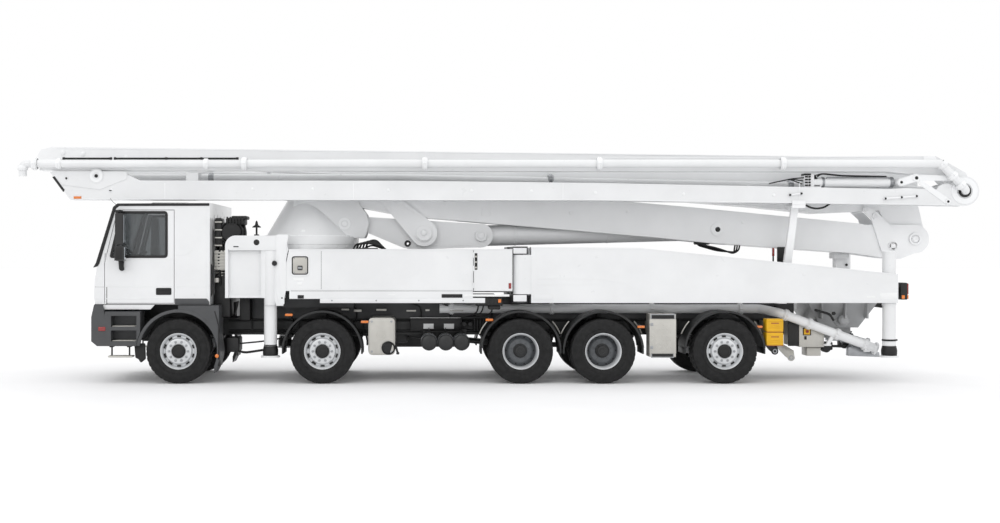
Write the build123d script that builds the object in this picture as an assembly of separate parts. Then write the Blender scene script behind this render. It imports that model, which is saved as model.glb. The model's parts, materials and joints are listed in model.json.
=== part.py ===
from build123d import *

import os
from math import asin, atan2, cos, degrees, hypot, radians, sin

# Five-axle concrete pump truck, about 61 m class, folded for the road, in millimetres.
# Frame: +X points to the rear, -Y is the truck's left side, +Z is up, and the origin is on
# the ground under the middle of the whole outline. Side profiles are lists of (x, z).

# ---------------------------------------------------------------- driving dimensions
BODY_HALF = 1245.0                 # half width over the bodywork
GAP = 6.0                          # air between parts that move past each other
FIT = 0.3                          # air round a shaft in its bore

# running gear
AXLE_X = (-5310.0, -2940.0, 330.0, 1690.0, 3690.0)
TYRE_R = 535.0
TYRE_W = 385.0                     # single tyres of axles 1, 2 and 5
TWIN_W = 295.0                     # each of the two tyres on axles 3 and 4
TWIN_GAP = 40.0
RIM_R = 292.0                      # outside of the rim flange
RIM_BORE_R = 248.0                 # inside of the rim barrel
SINGLE_Y = BODY_HALF + 5 - TYRE_W / 2
TWIN_Y = BODY_HALF + 5 - TWIN_W - TWIN_GAP / 2
HUB_Z = TYRE_R
KINGPIN_Y = SINGLE_Y - 157.5
KINGPIN_R = 26.0
KNUCKLE_H = 250.0
SPINDLE_R = 40.0
DRIVE_SPINDLE_R = 58.0
AXLE_BEAM_R = 62.0
GUARD_R = 665.0                    # mudguards of axles 2 to 5
FENDER_R = 690.0                   # wheel arch under the cab

# ladder frame and subframe
RAIL_Y = 430.0                     # outside face of a chassis rail
RAIL_W = 90.0
RAIL_Z = (760.0, 1040.0)
RAIL_X = (-6480.0, 5060.0)
SUB_Z = (RAIL_Z[1], 1400.0)
SUB_X = (-4300.0, 5060.0)

# cab
CAB_HALF = 1180.0
CAB_FRONT = -6690.0
CAB_REAR = -4800.0
CAB_WALL = 45.0
CAB_FLOOR_Z = 1300.0
CAB_MOUNT_X = (-6340.0, -4870.0)
DOOR_X = (-6531.0, -5392.0)
DOOR_Z = (1330.0, 2860.0)
DOOR_T = 45.0
DOOR_GAP = 10.0
HINGE_IN = 12.0                    # door hinge pin behind the door's front corner
HINGE_R = 12.0

# front outrigger arms: two curved box arms that cross under the slewing ring
FRONT_JACK = (-3805.0, 1080.0)
ARC_R = 6000.0
ARC_AT_JACK = 45.0                 # degrees of arc at the jack
ARC_TAIL_X = 1273.0                # inner end of a stowed arm
ARC_HOUSING = (16.0, 41.5)
ARM_W = 280.0
ARM_H = 290.0
ARM_Z = {"left": 1975.0, "right": 1640.0}
HOUSING_WALL = 14.0
HEAD_X = (-4537.0, -3560.0)
HEAD_Z = (1414.0, 2442.0)

# rear outrigger arms
REAR_HINGE = (330.0, 1115.0)
REAR_KNUCKLE_R = 122.0
REAR_JACK = (6438.0, 1105.0)
REAR_ARM_IN = 950.0                # inner face of the arm
REAR_LUG_Z = ((1330.0, 1470.0), (2130.0, 2262.0))

# jacks
JACK_TUBE_R = 107.0
JACK_BORE_R = 84.0
JACK_ROD_R = 78.0
JACK_TUBE_BOTTOM = 620.0
JACK_TUBE_WALL_TOP = 60.0
JACK_GUIDE = 60.0                  # length of the guide at the mouth of a jack's tube
FOOT_R = 156.0
FOOT_Z = 428.0
JACK_TOP = {"front": 2204.0, "rear": 2154.0}

# slewing ring, turret and boom pivots
SLEW_X = -3250.0
DECK_Z = 2220.0
DRUM_R = 850.0
RING_Z = (2300.0, 2436.0)
BELL = (760.0, 285.0, 3090.0)      # foot radius, head radius and height of the turret bell
PIVOT_A = (-2660.0, 3205.0)
PIVOT_B = (7180.0, 2396.0)
PIVOT_C = (-6732.0, 3441.0)
PIVOT_D = (7762.0, 3190.0)
SEC1_HALF = 300.0
SEC2_HALF = 240.0
SEC3_Y = (-930.0, -550.0)
SEC4_Y = (-885.0, -595.0)
LUG_T = 40.0

# lift linkage: rocker on the turret, teardrop link up to section 1, cylinder from the
# rocker's tip to section 1
ROCKER_PIVOT = (-2625.0, 2660.0)
ROCKER_TIP = (-280.0, 2455.0)
LINK_FOOT = (-1264.0, 2499.0)
LINK_HEAD = (-2000.0, 3200.0)
ROD_EYE = (3785.0, 2560.0)
ROCKER_HALF = 240.0
BARREL_R = 180.0

# delivery pipe
PIPE_R = 66.5
PIPE_BEND = 68.0                   # tight elbows at the knuckles
PIPE1_Y = 430.0                    # beside section 1, on the right
PIPE2_Y = 545.0
PIPE3_Y = -420.0
PIPE4_Y = -1022.0
PIPE4_Z = 3640.0
TIP_X = -7935.0
SPIGOT_Z = 3430.0                  # lower end of the spigot at the boom's tip
SPIGOT_LENGTH = 100.0
COUPLING_R = 86.0
END_HOSE_R = 25.0


# ---------------------------------------------------------------- helpers
def box(x, y, z):
    """Block between two corners given as (low, high) pairs."""
    sizes = [pair[1] - pair[0] for pair in (x, y, z)]
    middle = [(pair[0] + pair[1]) / 2 for pair in (x, y, z)]
    return Pos(*middle) * Box(*sizes)


def span(side, near, far):
    """Low and high y of a stretch given as distances from the middle, on one side."""
    sign = -1 if side == "left" else 1
    return tuple(sorted((sign * near, sign * far)))


def plate(points, y0, y1):
    """Side profile of (x, z) points, extruded from y0 to y1."""
    face = make_face(Polyline(*points, close=True))
    return Plane.XZ.offset(-y1) * extrude(face, y1 - y0)


def hull(circles, y0, y1):
    """Plate whose outline is drawn tight round circles given as (x, z, radius)."""
    edges = [(Pos(x, z) * Circle(r)).edge() for x, z, r in circles]
    return Plane.XZ.offset(-y1) * extrude(make_hull(edges), y1 - y0)


def disc(x, z, r, y0, y1):
    """Cylinder across the truck, axis along Y."""
    return Pos(x, (y0 + y1) / 2, z) * Rot(90, 0, 0) * Cylinder(r, abs(y1 - y0))


def post(x, y, r, z0, z1):
    """Upright cylinder."""
    return Pos(x, y, (z0 + z1) / 2) * Cylinder(r, z1 - z0)


def collar(x, y, z, r, length):
    """Cylinder along the truck, centred on a point."""
    return Pos(x, y, z) * Rot(0, 90, 0) * Cylinder(r, length)


def rod(start, end, r):
    """Cylinder from one point to another."""
    a, b = Vector(*start), Vector(*end)
    return Solid.make_cylinder(r, (b - a).length, Plane(origin=a, z_dir=(b - a)))


def pipe(points, radius, bend):
    """Round pipe through points with bends of one radius."""
    path = FilletPolyline(*points, radius=bend) if len(points) > 2 else Line(*points)
    start = Plane(origin=points[0], z_dir=Vector(*points[1]) - Vector(*points[0]))
    return sweep(start * Circle(radius), path=path)


def fuse(shapes):
    """One solid from a list of touching or overlapping solids."""
    total = shapes[0]
    for shape in shapes[1:]:
        total = total + shape
    return total


def mirrored(shape, side):
    """The part for one side: shapes are drawn for the left, at -Y."""
    return shape if side == "left" else mirror(shape, about=Plane.XZ)


NODES = {}


def keep(name, *shapes):
    """Store one or more separate solids under a node's name."""
    solids = []
    for shape in shapes:
        solids.extend(shape.solids())
    NODES[name] = solids[0] if len(solids) == 1 else Compound(children=solids)


# ---------------------------------------------------------------- wheels
STEERED = {1: AXLE_X[0], 2: AXLE_X[1], 5: AXLE_X[4]}
DRIVEN = {3: AXLE_X[2], 4: AXLE_X[3]}
SIDES = {"left": -1, "right": 1}


def turned(points):
    """Solid of revolution about the Y axis from (radius, y) points."""
    return revolve(make_face(Polyline(*points, close=True)), Axis.Y)


def tyre_outline(width, middle):
    """Tread and two sidewalls of a tyre, from its outer bead to its inner bead."""
    half = width / 2
    return [(RIM_R, middle - half * 0.84), (TYRE_R, middle - half), (TYRE_R, middle + half),
            (RIM_R, middle + half * 0.84)]


def wheel_holes(y):
    """Ten hand holes through a wheel disc."""
    return [Rot(0, 36 * k, 0) * Pos(218, y, 0) * Rot(90, 0, 0) * Cylinder(20, 160)
            for k in range(10)]


def single_wheel():
    """Steered wheel with its centre at y = 0 and its outside towards -Y."""
    bulge, edge, lip = -62.0, -2.0, TYRE_W * 0.4
    whole = turned(
        [(0, -118), (84, -118), (92, bulge), (170, bulge), (RIM_BORE_R, edge),
         (RIM_BORE_R, -lip)] + tyre_outline(TYRE_W, 0)
        + [(RIM_BORE_R, lip), (RIM_BORE_R, edge + 16), (164, bulge + 18), (120, bulge + 18),
           (120, 90), (SPINDLE_R + FIT, 90), (SPINDLE_R + FIT, -40), (0, -40)])
    return whole - wheel_holes(-40)


def twin_wheel():
    """Two tyres on one hub with the discs set deep in; the outside is towards -Y."""
    middle = (TWIN_W + TWIN_GAP) / 2
    lip = middle + TWIN_W * 0.4
    outer = [(0, -250), (92, -250), (118, -225), (118, -98), (170, -98),
             (RIM_BORE_R, -140), (RIM_BORE_R, -lip)] + tyre_outline(TWIN_W, -middle)
    inner = tyre_outline(TWIN_W, middle) + [
        (RIM_BORE_R, lip), (RIM_BORE_R, 140), (170, 98), (130, 98), (130, 250),
        (DRIVE_SPINDLE_R + FIT, 250), (DRIVE_SPINDLE_R + FIT, -60), (0, -60)]
    return turned(outer + inner)


def build_wheels():
    for side, sign in SIDES.items():
        turn = 0 if side == "left" else 180
        for axle, x in STEERED.items():
            place = Pos(x, sign * SINGLE_Y, HUB_Z) * Rot(0, 0, turn)
            keep(f"wheel_{axle}_{side}", place * single_wheel())
        for axle, x in DRIVEN.items():
            place = Pos(x, sign * TWIN_Y, HUB_Z) * Rot(0, 0, turn)
            keep(f"wheel_{axle}_{side}", place * twin_wheel())


EYE_R = 30.0                       # round end of the axle beam, inside the knuckle's fork
FORK_HALF = 66.0                   # half height of the fork's mouth


def build_knuckles():
    """Steering knuckles: a fork round the kingpin, the spindle and the steering arm."""
    for side in SIDES:
        for axle, x in STEERED.items():
            y = -KINGPIN_Y
            body = post(x, y, 55, HUB_Z - KNUCKLE_H / 2, HUB_Z + KNUCKLE_H / 2)
            body += box((x - 50, x + 50), (y - 62, y - 12), (HUB_Z - 70, HUB_Z + 70))
            body += box((x + 30, x + 230), (y + 12, y + 48), (HUB_Z + 76, HUB_Z + 104))
            body -= box((x - 60, x + 60), (y - EYE_R - 6, y + 90),
                        (HUB_Z - FORK_HALF, HUB_Z + FORK_HALF))
            body -= post(x, y, KINGPIN_R + FIT, HUB_Z - KNUCKLE_H, HUB_Z + KNUCKLE_H)
            body += disc(x, HUB_Z, SPINDLE_R, y - 190, y - 40)
            keep(f"knuckle_{axle}_{side}", mirrored(body, side))


def build_axles():
    """Steered axle beams with kingpins, and driven axles with hubs and differentials."""
    solids = []
    for x in STEERED.values():
        beam = disc(x, HUB_Z, AXLE_BEAM_R, -KINGPIN_Y + 94, KINGPIN_Y - 94)
        for side, sign in SIDES.items():
            eye_z = (HUB_Z - FORK_HALF + GAP, HUB_Z + FORK_HALF - GAP)
            beam += box((x - EYE_R, x + EYE_R), span(side, KINGPIN_Y - 100, KINGPIN_Y), eye_z)
            beam += post(x, sign * KINGPIN_Y, EYE_R, *eye_z)
            beam += post(x, sign * KINGPIN_Y, KINGPIN_R, HUB_Z - 118, HUB_Z + 118)
            beam += box((x - 90, x + 90), span(side, RAIL_Y - RAIL_W, RAIL_Y),
                        (HUB_Z + 30, RAIL_Z[0]))
        solids.append(beam)
    for x in DRIVEN.values():
        beam = disc(x, HUB_Z, 85, -TWIN_Y + 256, TWIN_Y - 256)
        beam += disc(x, HUB_Z, DRIVE_SPINDLE_R, -TWIN_Y - 50, TWIN_Y + 50)
        beam += disc(x, HUB_Z, 215, -130, 130)
        for side in SIDES:
            beam += box((x - 90, x + 90), span(side, RAIL_Y - RAIL_W, RAIL_Y),
                        (HUB_Z + 40, RAIL_Z[0]))
        solids.append(beam)
    keep("axle_beams", *solids)


# ---------------------------------------------------------------- chassis
def build_chassis():
    shapes = []
    for side in SIDES:
        rail = box(RAIL_X, span(side, RAIL_Y - RAIL_W, RAIL_Y), RAIL_Z)
        rail -= box(RAIL_X, span(side, RAIL_Y - RAIL_W, RAIL_Y - 10),
                    (RAIL_Z[0] + 12, RAIL_Z[1] - 12))
        shapes.append(rail)
    cross_x = [RAIL_X[0] + 40] + [x + 420 for x in AXLE_X] + [-1600.0, -600.0, RAIL_X[1] - 40]
    inner = RAIL_Y - 10
    for x in cross_x:
        shapes.append(box((x - 40, x + 40), (-inner, inner), (RAIL_Z[0] + 30, RAIL_Z[1] - 30)))
    for x in CAB_MOUNT_X:
        for side in SIDES:
            shapes.append(box((x - 50, x + 50), span(side, RAIL_Y - RAIL_W, RAIL_Y - 10),
                              (RAIL_Z[1] - 1, CAB_FLOOR_Z)))
    keep("chassis_frame", fuse(shapes))
    upper = box((-6150, -4950), (-320, 320), (RAIL_Z[1] + 10, CAB_FLOOR_Z - 20))
    lower = box((-6100, -5000), (-300, 300), (640, RAIL_Z[1] + 10))
    mounts = box((-5700, -5600), (-inner, inner), (800, 1000))
    keep("engine_block", upper + lower + mounts)


def arc_centre():
    angle = radians(ARC_AT_JACK)
    return FRONT_JACK[0] + ARC_R * sin(angle), -FRONT_JACK[1] - ARC_R * cos(angle)


ARC_TAIL = -degrees(asin((ARC_TAIL_X - arc_centre()[0]) / ARC_R))


def arc_beam(from_deg, to_deg, width, height, z):
    """Curved box beam in plan, drawn for the left side."""
    cx, cy = arc_centre()
    outer, inner = ARC_R + width / 2, ARC_R - width / 2

    def point(angle, r):
        return cx - r * sin(radians(angle)), cy + r * cos(radians(angle))

    middle = (from_deg + to_deg) / 2
    outline = Wire([
        ThreePointArc(point(from_deg, outer), point(middle, outer), point(to_deg, outer)).edge(),
        Line(point(to_deg, outer), point(to_deg, inner)).edge(),
        ThreePointArc(point(to_deg, inner), point(middle, inner), point(from_deg, inner)).edge(),
        Line(point(from_deg, inner), point(from_deg, outer)).edge()])
    return Pos(0, 0, z - height / 2) * extrude(make_face(outline), height)


def arm_space(side, extra):
    """The room that a stowed front arm needs, with air all round."""
    shape = arc_beam(ARC_TAIL - 1, ARC_AT_JACK + 4, ARM_W + 2 * extra, ARM_H + 2 * extra,
                     ARM_Z[side])
    return mirrored(shape, side)


def build_subframe():
    """Box subframe, turret pedestal, curved arm housings and rear hinge brackets."""
    shapes = [box(SUB_X, span(side, RAIL_Y - 130, RAIL_Y), SUB_Z) for side in SIDES]
    crosses = ((SUB_X[0] + 60, SUB_Z[1]), (-1700, SUB_Z[1]), (-500, SUB_Z[1]),
               (1000, SUB_Z[1]), (2700, 1150), (SUB_X[1] - 60, 1150))
    for x, top in crosses:
        shapes.append(box((x - 60, x + 60), (-RAIL_Y, RAIL_Y), (SUB_Z[0], top)))
    for x in (-1700, -500):
        for side in SIDES:
            shapes.append(box((x - 60, x + 60), span(side, RAIL_Y, 880), (1300, SUB_Z[1])))
    shapes.append(box((SLEW_X - 700, SLEW_X + 800), (-760, 760), (1240, DECK_Z - 30)))
    shapes.append(post(SLEW_X, 0, DRUM_R - 12, DECK_Z - 40, RING_Z[0] - GAP))
    shapes.append(post(SLEW_X, 0, BELL[0] - 100, RING_Z[0] - GAP - 1, RING_Z[0]))
    wall = GAP + HOUSING_WALL
    for side in SIDES:
        housing = arc_beam(*ARC_HOUSING, ARM_W + 2 * wall, ARM_H + 2 * wall, ARM_Z[side])
        shapes.append(mirrored(housing, side))
    body = fuse(shapes)
    for side in SIDES:
        body -= arm_space(side, GAP)
    hx, hy = REAR_HINGE
    for side, sign in SIDES.items():
        for z0, z1 in REAR_LUG_Z:
            body += post(hx, sign * hy, REAR_KNUCKLE_R, z0, z1)
            body += box((hx - REAR_KNUCKLE_R, hx + 40), span(side, RAIL_Y - 40, hy - 10),
                        (z0, z1))
        body += box((hx - REAR_KNUCKLE_R, hx + 40), span(side, RAIL_Y - 120, RAIL_Y + 60),
                    (SUB_Z[0] + 80, REAR_LUG_Z[1][1]))
        body += post(hx, sign * hy, 45, REAR_LUG_Z[0][0], REAR_LUG_Z[1][1])
    keep("subframe", body)


# ---------------------------------------------------------------- front outriggers
JACK_OUT = 30.0                    # front jack axis outside the arm's centre line


def jack_bore(x, y, place):
    """Inside of a jack's tube, with a close guide for the leg at its mouth."""
    mouth = post(x, y, JACK_ROD_R + FIT, JACK_TUBE_BOTTOM - 1, JACK_TUBE_BOTTOM + JACK_GUIDE)
    top = JACK_TOP[place] - JACK_TUBE_WALL_TOP
    return mouth + post(x, y, JACK_BORE_R, JACK_TUBE_BOTTOM + JACK_GUIDE - 1, top)


def build_front_arms():
    x, y = FRONT_JACK[0], -FRONT_JACK[1]
    for side in SIDES:
        beam = arc_beam(ARC_TAIL, ARC_AT_JACK - 1.0, ARM_W, ARM_H, ARM_Z[side])
        head = box(HEAD_X, (-BODY_HALF, -1030), HEAD_Z)
        corner = box((HEAD_X[0] - 1, HEAD_X[0] + 170), (-BODY_HALF - 1, -1029),
                     (HEAD_Z[1] - 170, HEAD_Z[1] + 1))
        round_off = disc(HEAD_X[0] + 170, HEAD_Z[1] - 170, 170, -BODY_HALF, -1030)
        head = head - corner + round_off
        head -= box((HEAD_X[0] + 50, x - 130), (-BODY_HALF - 1, -BODY_HALF + 60),
                    (HEAD_Z[0] - 1, HEAD_Z[0] + 800))
        blade = plate([(x + 37, HEAD_Z[1]), (HEAD_X[1], HEAD_Z[1]), (HEAD_X[1] + 60, 2215),
                       (HEAD_X[1] - 10, 1830), (HEAD_X[1] - 20, 1285), (x + 114, 1285),
                       (x + 37, 1480)], -BODY_HALF, -BODY_HALF + 26)
        column = box((x - 150, x + 150), (-1230, -870), (HEAD_Z[0] + 20, JACK_TOP["front"]))
        jack_y = y - JACK_OUT
        tube = post(x, jack_y, JACK_TUBE_R, JACK_TUBE_BOTTOM, JACK_TOP["front"])
        arm = fuse([head, blade, column, tube, beam]) - jack_bore(x, jack_y, "front")
        keep(f"front_arm_{side}", mirrored(arm, side))


def jack_leg(x, y):
    leg = post(x, y, JACK_ROD_R, FOOT_Z + 60, JACK_TUBE_BOTTOM + 1050)
    cap = post(x, y, JACK_TUBE_R, FOOT_Z + 24, JACK_TUBE_BOTTOM - GAP)
    foot = post(x, y, FOOT_R, FOOT_Z, FOOT_Z + 24)
    return fuse([leg, cap, foot])


def build_jacks():
    for side in SIDES:
        front = jack_leg(FRONT_JACK[0], -FRONT_JACK[1] - JACK_OUT)
        keep(f"front_jack_{side}", mirrored(front, side))
        keep(f"rear_jack_{side}", mirrored(jack_leg(REAR_JACK[0], -REAR_JACK[1]), side))


def build_rear_arms():
    hx, hy = REAR_HINGE
    jx, jy = REAR_JACK
    low, high = REAR_LUG_Z[0][1] + GAP, REAR_LUG_Z[1][0] - GAP
    top = [(hx + 170, 2253), (hx + 1958, 2237), (hx + 2945, 2138), (jx - 1683, 1990),
           (jx + 100, 1809)]
    profile = [(hx + 170, 1332)] + top + [(jx + 100, 1332)]
    for side in SIDES:
        arm = plate(profile, -BODY_HALF, -REAR_ARM_IN)
        arm += post(hx, -hy, REAR_KNUCKLE_R, low, high)
        arm += box((hx, hx + 175), (-hy - REAR_KNUCKLE_R, -hy + REAR_KNUCKLE_R), (low, high))
        arm += post(jx, -jy, JACK_TUBE_R, JACK_TUBE_BOTTOM, JACK_TOP["rear"])
        arm -= jack_bore(jx, -jy, "rear")
        arm -= post(hx, -hy, 45 + FIT, low - 1, high + 1)
        keep(f"rear_arm_{side}", mirrored(arm, side))


# ---------------------------------------------------------------- cab
WAIST_Z = 1989.0
ROOF_Z = 2972.0
CAB_SIDE = [(CAB_FRONT, CAB_FLOOR_Z), (CAB_FRONT - 23, 1400), (CAB_FRONT - 10, 1720),
            (CAB_FRONT + 40, WAIST_Z), (CAB_FRONT + 307, 2930), (CAB_FRONT + 390, ROOF_Z),
            (CAB_REAR, ROOF_Z + 13), (CAB_REAR, 2940), (CAB_REAR, CAB_FLOOR_Z)]
WINDOW = [(DOOR_X[0] + 96, 2118), (DOOR_X[0] + 256, 2805), (DOOR_X[0] + 285, 2831),
          (DOOR_X[1] - 150, 2831), (DOOR_X[1] - 116, 2797), (DOOR_X[1] - 116, 2122),
          (DOOR_X[1] - 150, 2088), (DOOR_X[0] + 122, 2088)]


def door_outline(extra):
    """Side outline of a cab door, grown by extra all round."""
    x0, x1 = DOOR_X[0] - extra, DOOR_X[1] + extra
    z0, z1 = DOOR_Z[0] - extra, DOOR_Z[1] + extra
    return [(x0, z0), (x0, WAIST_Z), (x0 + 215, z1), (x1, z1), (x1, z0)]


def build_cab():
    w = CAB_WALL
    outer = plate(CAB_SIDE, -CAB_HALF, CAB_HALF)
    inner = plate([(CAB_FRONT + 50, CAB_FLOOR_Z + w), (CAB_FRONT + 30, 1400),
                   (CAB_FRONT + 90, WAIST_Z), (CAB_FRONT + 345, 2890), (CAB_FRONT + 390, 2920),
                   (CAB_REAR - w, 2930), (CAB_REAR - w, CAB_FLOOR_Z + w)],
                  -CAB_HALF + w, CAB_HALF - w)
    shell = outer - inner
    shell -= box((CAB_FRONT - 210, CAB_FRONT + 360), (-1050, 1050), (2040, 2860))
    hinge_x, hinge_y = DOOR_X[0] + HINGE_IN, CAB_HALF - HINGE_IN
    for side, sign in SIDES.items():
        shell -= plate(door_outline(DOOR_GAP), *span(side, CAB_HALF - w - 20, CAB_HALF + 1))
        shell -= post(hinge_x, sign * hinge_y, HINGE_R + 8, WAIST_Z - 10, WAIST_Z + 160)
        shell += post(hinge_x, sign * hinge_y, HINGE_R, CAB_FLOOR_Z + 5, DOOR_Z[0] + 130)
    keep("cab_shell", shell)
    slope = [(CAB_FRONT + 50, 2045), (CAB_FRONT + 278, 2855), (CAB_FRONT + 288, 2855),
             (CAB_FRONT + 60, 2045)]
    keep("cab_glass", plate(slope, -1050, 1050))
    for side in SIDES:
        y0, y1 = -CAB_HALF, -CAB_HALF + DOOR_T
        door = plate(door_outline(0), y0, y1)
        door -= plate(WINDOW, y0 - 1, y1 + 1)
        door += box((-6300, -6170), (-1445, -1290), (2290, 2800))
        door += box((-6310, -6160), (-1440, -1300), (2030, 2270))
        for z in (2045, 2810):
            door += box((-6290, -6262), (-1320, y0 + 10), (z, z + 28))
        door += box((-6290, -6262), (-1400, -1370), (2040, 2820))
        door -= post(hinge_x, -hinge_y, HINGE_R + FIT, DOOR_Z[0] - 1, DOOR_Z[0] + 140)
        keep(f"cab_door_{side}", mirrored(door, side))
        keep(f"door_glass_{side}", mirrored(plate(WINDOW, y0 + 18, y0 + 24), side))
    seats = []
    for y in (-620, 620):
        seat = box((-5750, -5250), (y - 250, y + 250), (CAB_FLOOR_Z + w, 1820))
        seat += box((-5330, -5190), (y - 240, y + 240), (1780, 2500))
        seats.append(seat)
    dash = box((CAB_FRONT + 98, -6330), (-1080, 1080), (CAB_FLOOR_Z + w, 2000))
    wheel = Pos(-6150, -620, 2060) * Rot(0, -35, 0) * Cylinder(225, 30)
    column = rod((-6340, -620, 1900), (-6150, -620, 2055), 30)
    keep("cab_interior", *seats, fuse([dash, column, wheel]))


def build_cab_front():
    bumper = plate([(-6745, 700), (-6745, 1100), (-6700, CAB_FLOOR_Z), (-6560, CAB_FLOOR_Z),
                    (-6520, 1120), (-6495, 620), (-6650, 620)], -BODY_HALF + 20, BODY_HALF - 20)
    bumper -= box((-6690, -6400), (-RAIL_Y - 20, RAIL_Y + 20), (600, CAB_FLOOR_Z + 1))
    shapes = [bumper]
    for side in SIDES:
        step = box((-6520, -5940), span(side, 900, BODY_HALF - 15), (620, 1190))
        step -= box((-6420, -6000), span(side, 1000, BODY_HALF), (700, 880))
        step -= box((-6420, -6000), span(side, 1000, BODY_HALF), (940, 1120))
        step -= disc(AXLE_X[0], HUB_Z, FENDER_R + 10, *span(side, 899, BODY_HALF))
        shapes.append(step)
    keep("front_bumper", fuse(shapes))
    fenders = []
    for side in SIDES:
        y0, y1 = span(side, 780, BODY_HALF - 5)
        fender = disc(AXLE_X[0], HUB_Z, FENDER_R, y0, y1)
        fender += box((AXLE_X[0], AXLE_X[0] + 670), (y0, y1), (HUB_Z + 200, CAB_FLOOR_Z - 10))
        fender += box((AXLE_X[0] + 600, AXLE_X[0] + 670), (y0, y1), (HUB_Z - 110, HUB_Z + 210))
        fender -= disc(AXLE_X[0], HUB_Z, FENDER_R - 50, y0 - 1, y1 + 1)
        fender -= box((AXLE_X[0] - 790, AXLE_X[0] + 590), (y0 - 1, y1 + 1), (-200, HUB_Z + 180))
        fender += box((AXLE_X[0] + 480, AXLE_X[0] + 560), span(side, RAIL_Y, 790),
                      (RAIL_Z[1] - 60, RAIL_Z[1]))
        fenders.append(fender)
    keep("cab_fenders", *fenders)


# ---------------------------------------------------------------- bodywork on the deck
DECK_X = (-3484.0, 190.0)
LOCKER_X = (2452.0, 2880.0)        # checker-plate locker between axles 4 and 5
CHOCK_X = (4377.0, 4656.0)
MUFFLER_X = (-2186.0, -1742.0)
AIR_TANK_X = (-1182.0, -903.0, -640.0)
REAR_REST_X = 4900.0
STAY_Z = (1084.0, 1118.0)          # mudguard stays, between the tyres and the delivery line


def build_deck():
    boxes = []
    for side in SIDES:
        outline = [(DECK_X[0], DECK_Z), (DECK_X[0] - 76, 1830), (DECK_X[0] - 76, 1530),
                   (DECK_X[1], 1530), (DECK_X[1], DECK_Z)]
        body = plate(outline, -BODY_HALF, -850)
        body -= box((-454, -444), (-BODY_HALF - 1, -BODY_HALF + 20), (1500, DECK_Z + 1))
        rail = box((DECK_X[0] + 4, -460), (-BODY_HALF, -850), (1400, 1531))
        skirt = box((-2975, -260), (-BODY_HALF, -BODY_HALF + 60), (1332, 1414))
        whole = mirrored(fuse([body, rail, skirt]), side)
        for arm in SIDES:
            whole -= arm_space(arm, 40)
        boxes.append(whole)
    keep("deck_boxes", *boxes)


def build_mudguards():
    """Round guards over axles 2 to 5, each on a stay from the subframe."""
    guards = []
    for x in AXLE_X[1:]:
        for side in SIDES:
            y0, y1 = span(side, 680, BODY_HALF - 5)
            arc = disc(x, HUB_Z, GUARD_R, y0, y1) - disc(x, HUB_Z, GUARD_R - 20, y0 - 1, y1 + 1)
            arc -= box((x - 800, x + 800), (y0 - 1, y1 + 1), (-200, HUB_Z + 60))
            arc += box((x - 25, x + 25), span(side, RAIL_Y, 700), STAY_Z)
            arc += box((x - 25, x + 25), span(side, 680, 700), (STAY_Z[0], HUB_Z + GUARD_R - 10))
            guards.append(arc)
    keep("axle_mudguards", *guards)


def hanger(x0, x1, side, reach, z0=RAIL_Z[0] + 40, z1=RAIL_Z[1] - 40):
    """Bracket from the outside of a chassis rail out to what it carries."""
    return box((x0, x1), span(side, RAIL_Y, reach), (z0, z1))


def build_frame_gear():
    """Air cleaner tower, silencer, tanks, lockers and chocks, each on its own brackets."""
    tower = box((CAB_REAR + 20, CAB_REAR + 260), (-520, 520), (RAIL_Z[1], 2600))
    tower += box((CAB_REAR + 20, CAB_REAR + 560), (-960, -540), (2150, 2790))
    tower += box((CAB_REAR + 20, CAB_REAR + 140), (-560, -500), (2160, 2560))
    keep("air_intake", tower)
    x0, x1 = MUFFLER_X
    muffler = box((x0, x1), (-1200, -500), (470, 1085))
    keep("exhaust_silencer", muffler + hanger(x0 + 60, x1 - 60, "left", 505))
    air = [disc(x, 674, 132, -1150, -520) for x in AIR_TANK_X]
    air.append(box((AIR_TANK_X[0] - 100, AIR_TANK_X[2] + 100), (-560, -RAIL_Y), (620, 860)))
    fuel = box((-2100, -700), (520, 1180), (480, 1080))
    for x in (-1900, -1000):
        fuel += hanger(x, x + 120, "right", 530)
    keep("tanks", fuse(air), fuel)
    side = box(LOCKER_X, (-BODY_HALF + 10, -900), (444, 1151))
    side += hanger(LOCKER_X[0] + 60, LOCKER_X[1] - 60, "left", 905)
    cabinet = box((4870, 5280), (-770, -480), (608, 1020))
    cabinet += hanger(4880, 5040, "left", 485)
    shelf = box((CHOCK_X[0] + 10, CHOCK_X[1] - 10), (-1000, -980), (640, 1060))
    shelf += hanger(CHOCK_X[0] + 80, CHOCK_X[1] - 80, "left", 985)
    keep("side_lockers", side, cabinet, shelf)
    chocks = [box(CHOCK_X, (-BODY_HALF + 20, -1000), z) for z in ((855, 1069), (630, 845))]
    keep("wheel_chocks", *chocks)


def build_rests():
    """Leaning post under section 3 with its saddle, and the rest under section 1."""
    x = REAR_REST_X
    lean = plate([(x - 200, 1300), (x - 65, 1300), (x + 135, 2905), (x + 19, 2905)], -780, -700)
    foot = box((x - 200, x - 65), (-701, -RAIL_Y), (1300, 1400))
    saddle = box((x - 20, x + 200), (-955, -545), (2905, 2955))
    cheek = box((x - 20, x + 200), (-955, -936), (2905, 3030))
    end = SUB_X[1]
    sill = box((end, end + 50), (-RAIL_Y, RAIL_Y), (1200, 1700))
    sill -= box((end - 1, end + 51), (-300, 300), (1199, 1600))
    beam = box((end, end + 1010), (-70, 70), (1620, 1740))
    stub = box((end + 830, end + 1010), (-90, 90), (1740, 2060))
    pad = plate([(end + 790, 2060), (end + 1040, 2060), (end + 1040, 2140), (end + 790, 2162)],
                -150, 150)
    keep("boom_rests", fuse([lean, foot, saddle, cheek]), fuse([sill, beam, stub, pad]))


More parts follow.
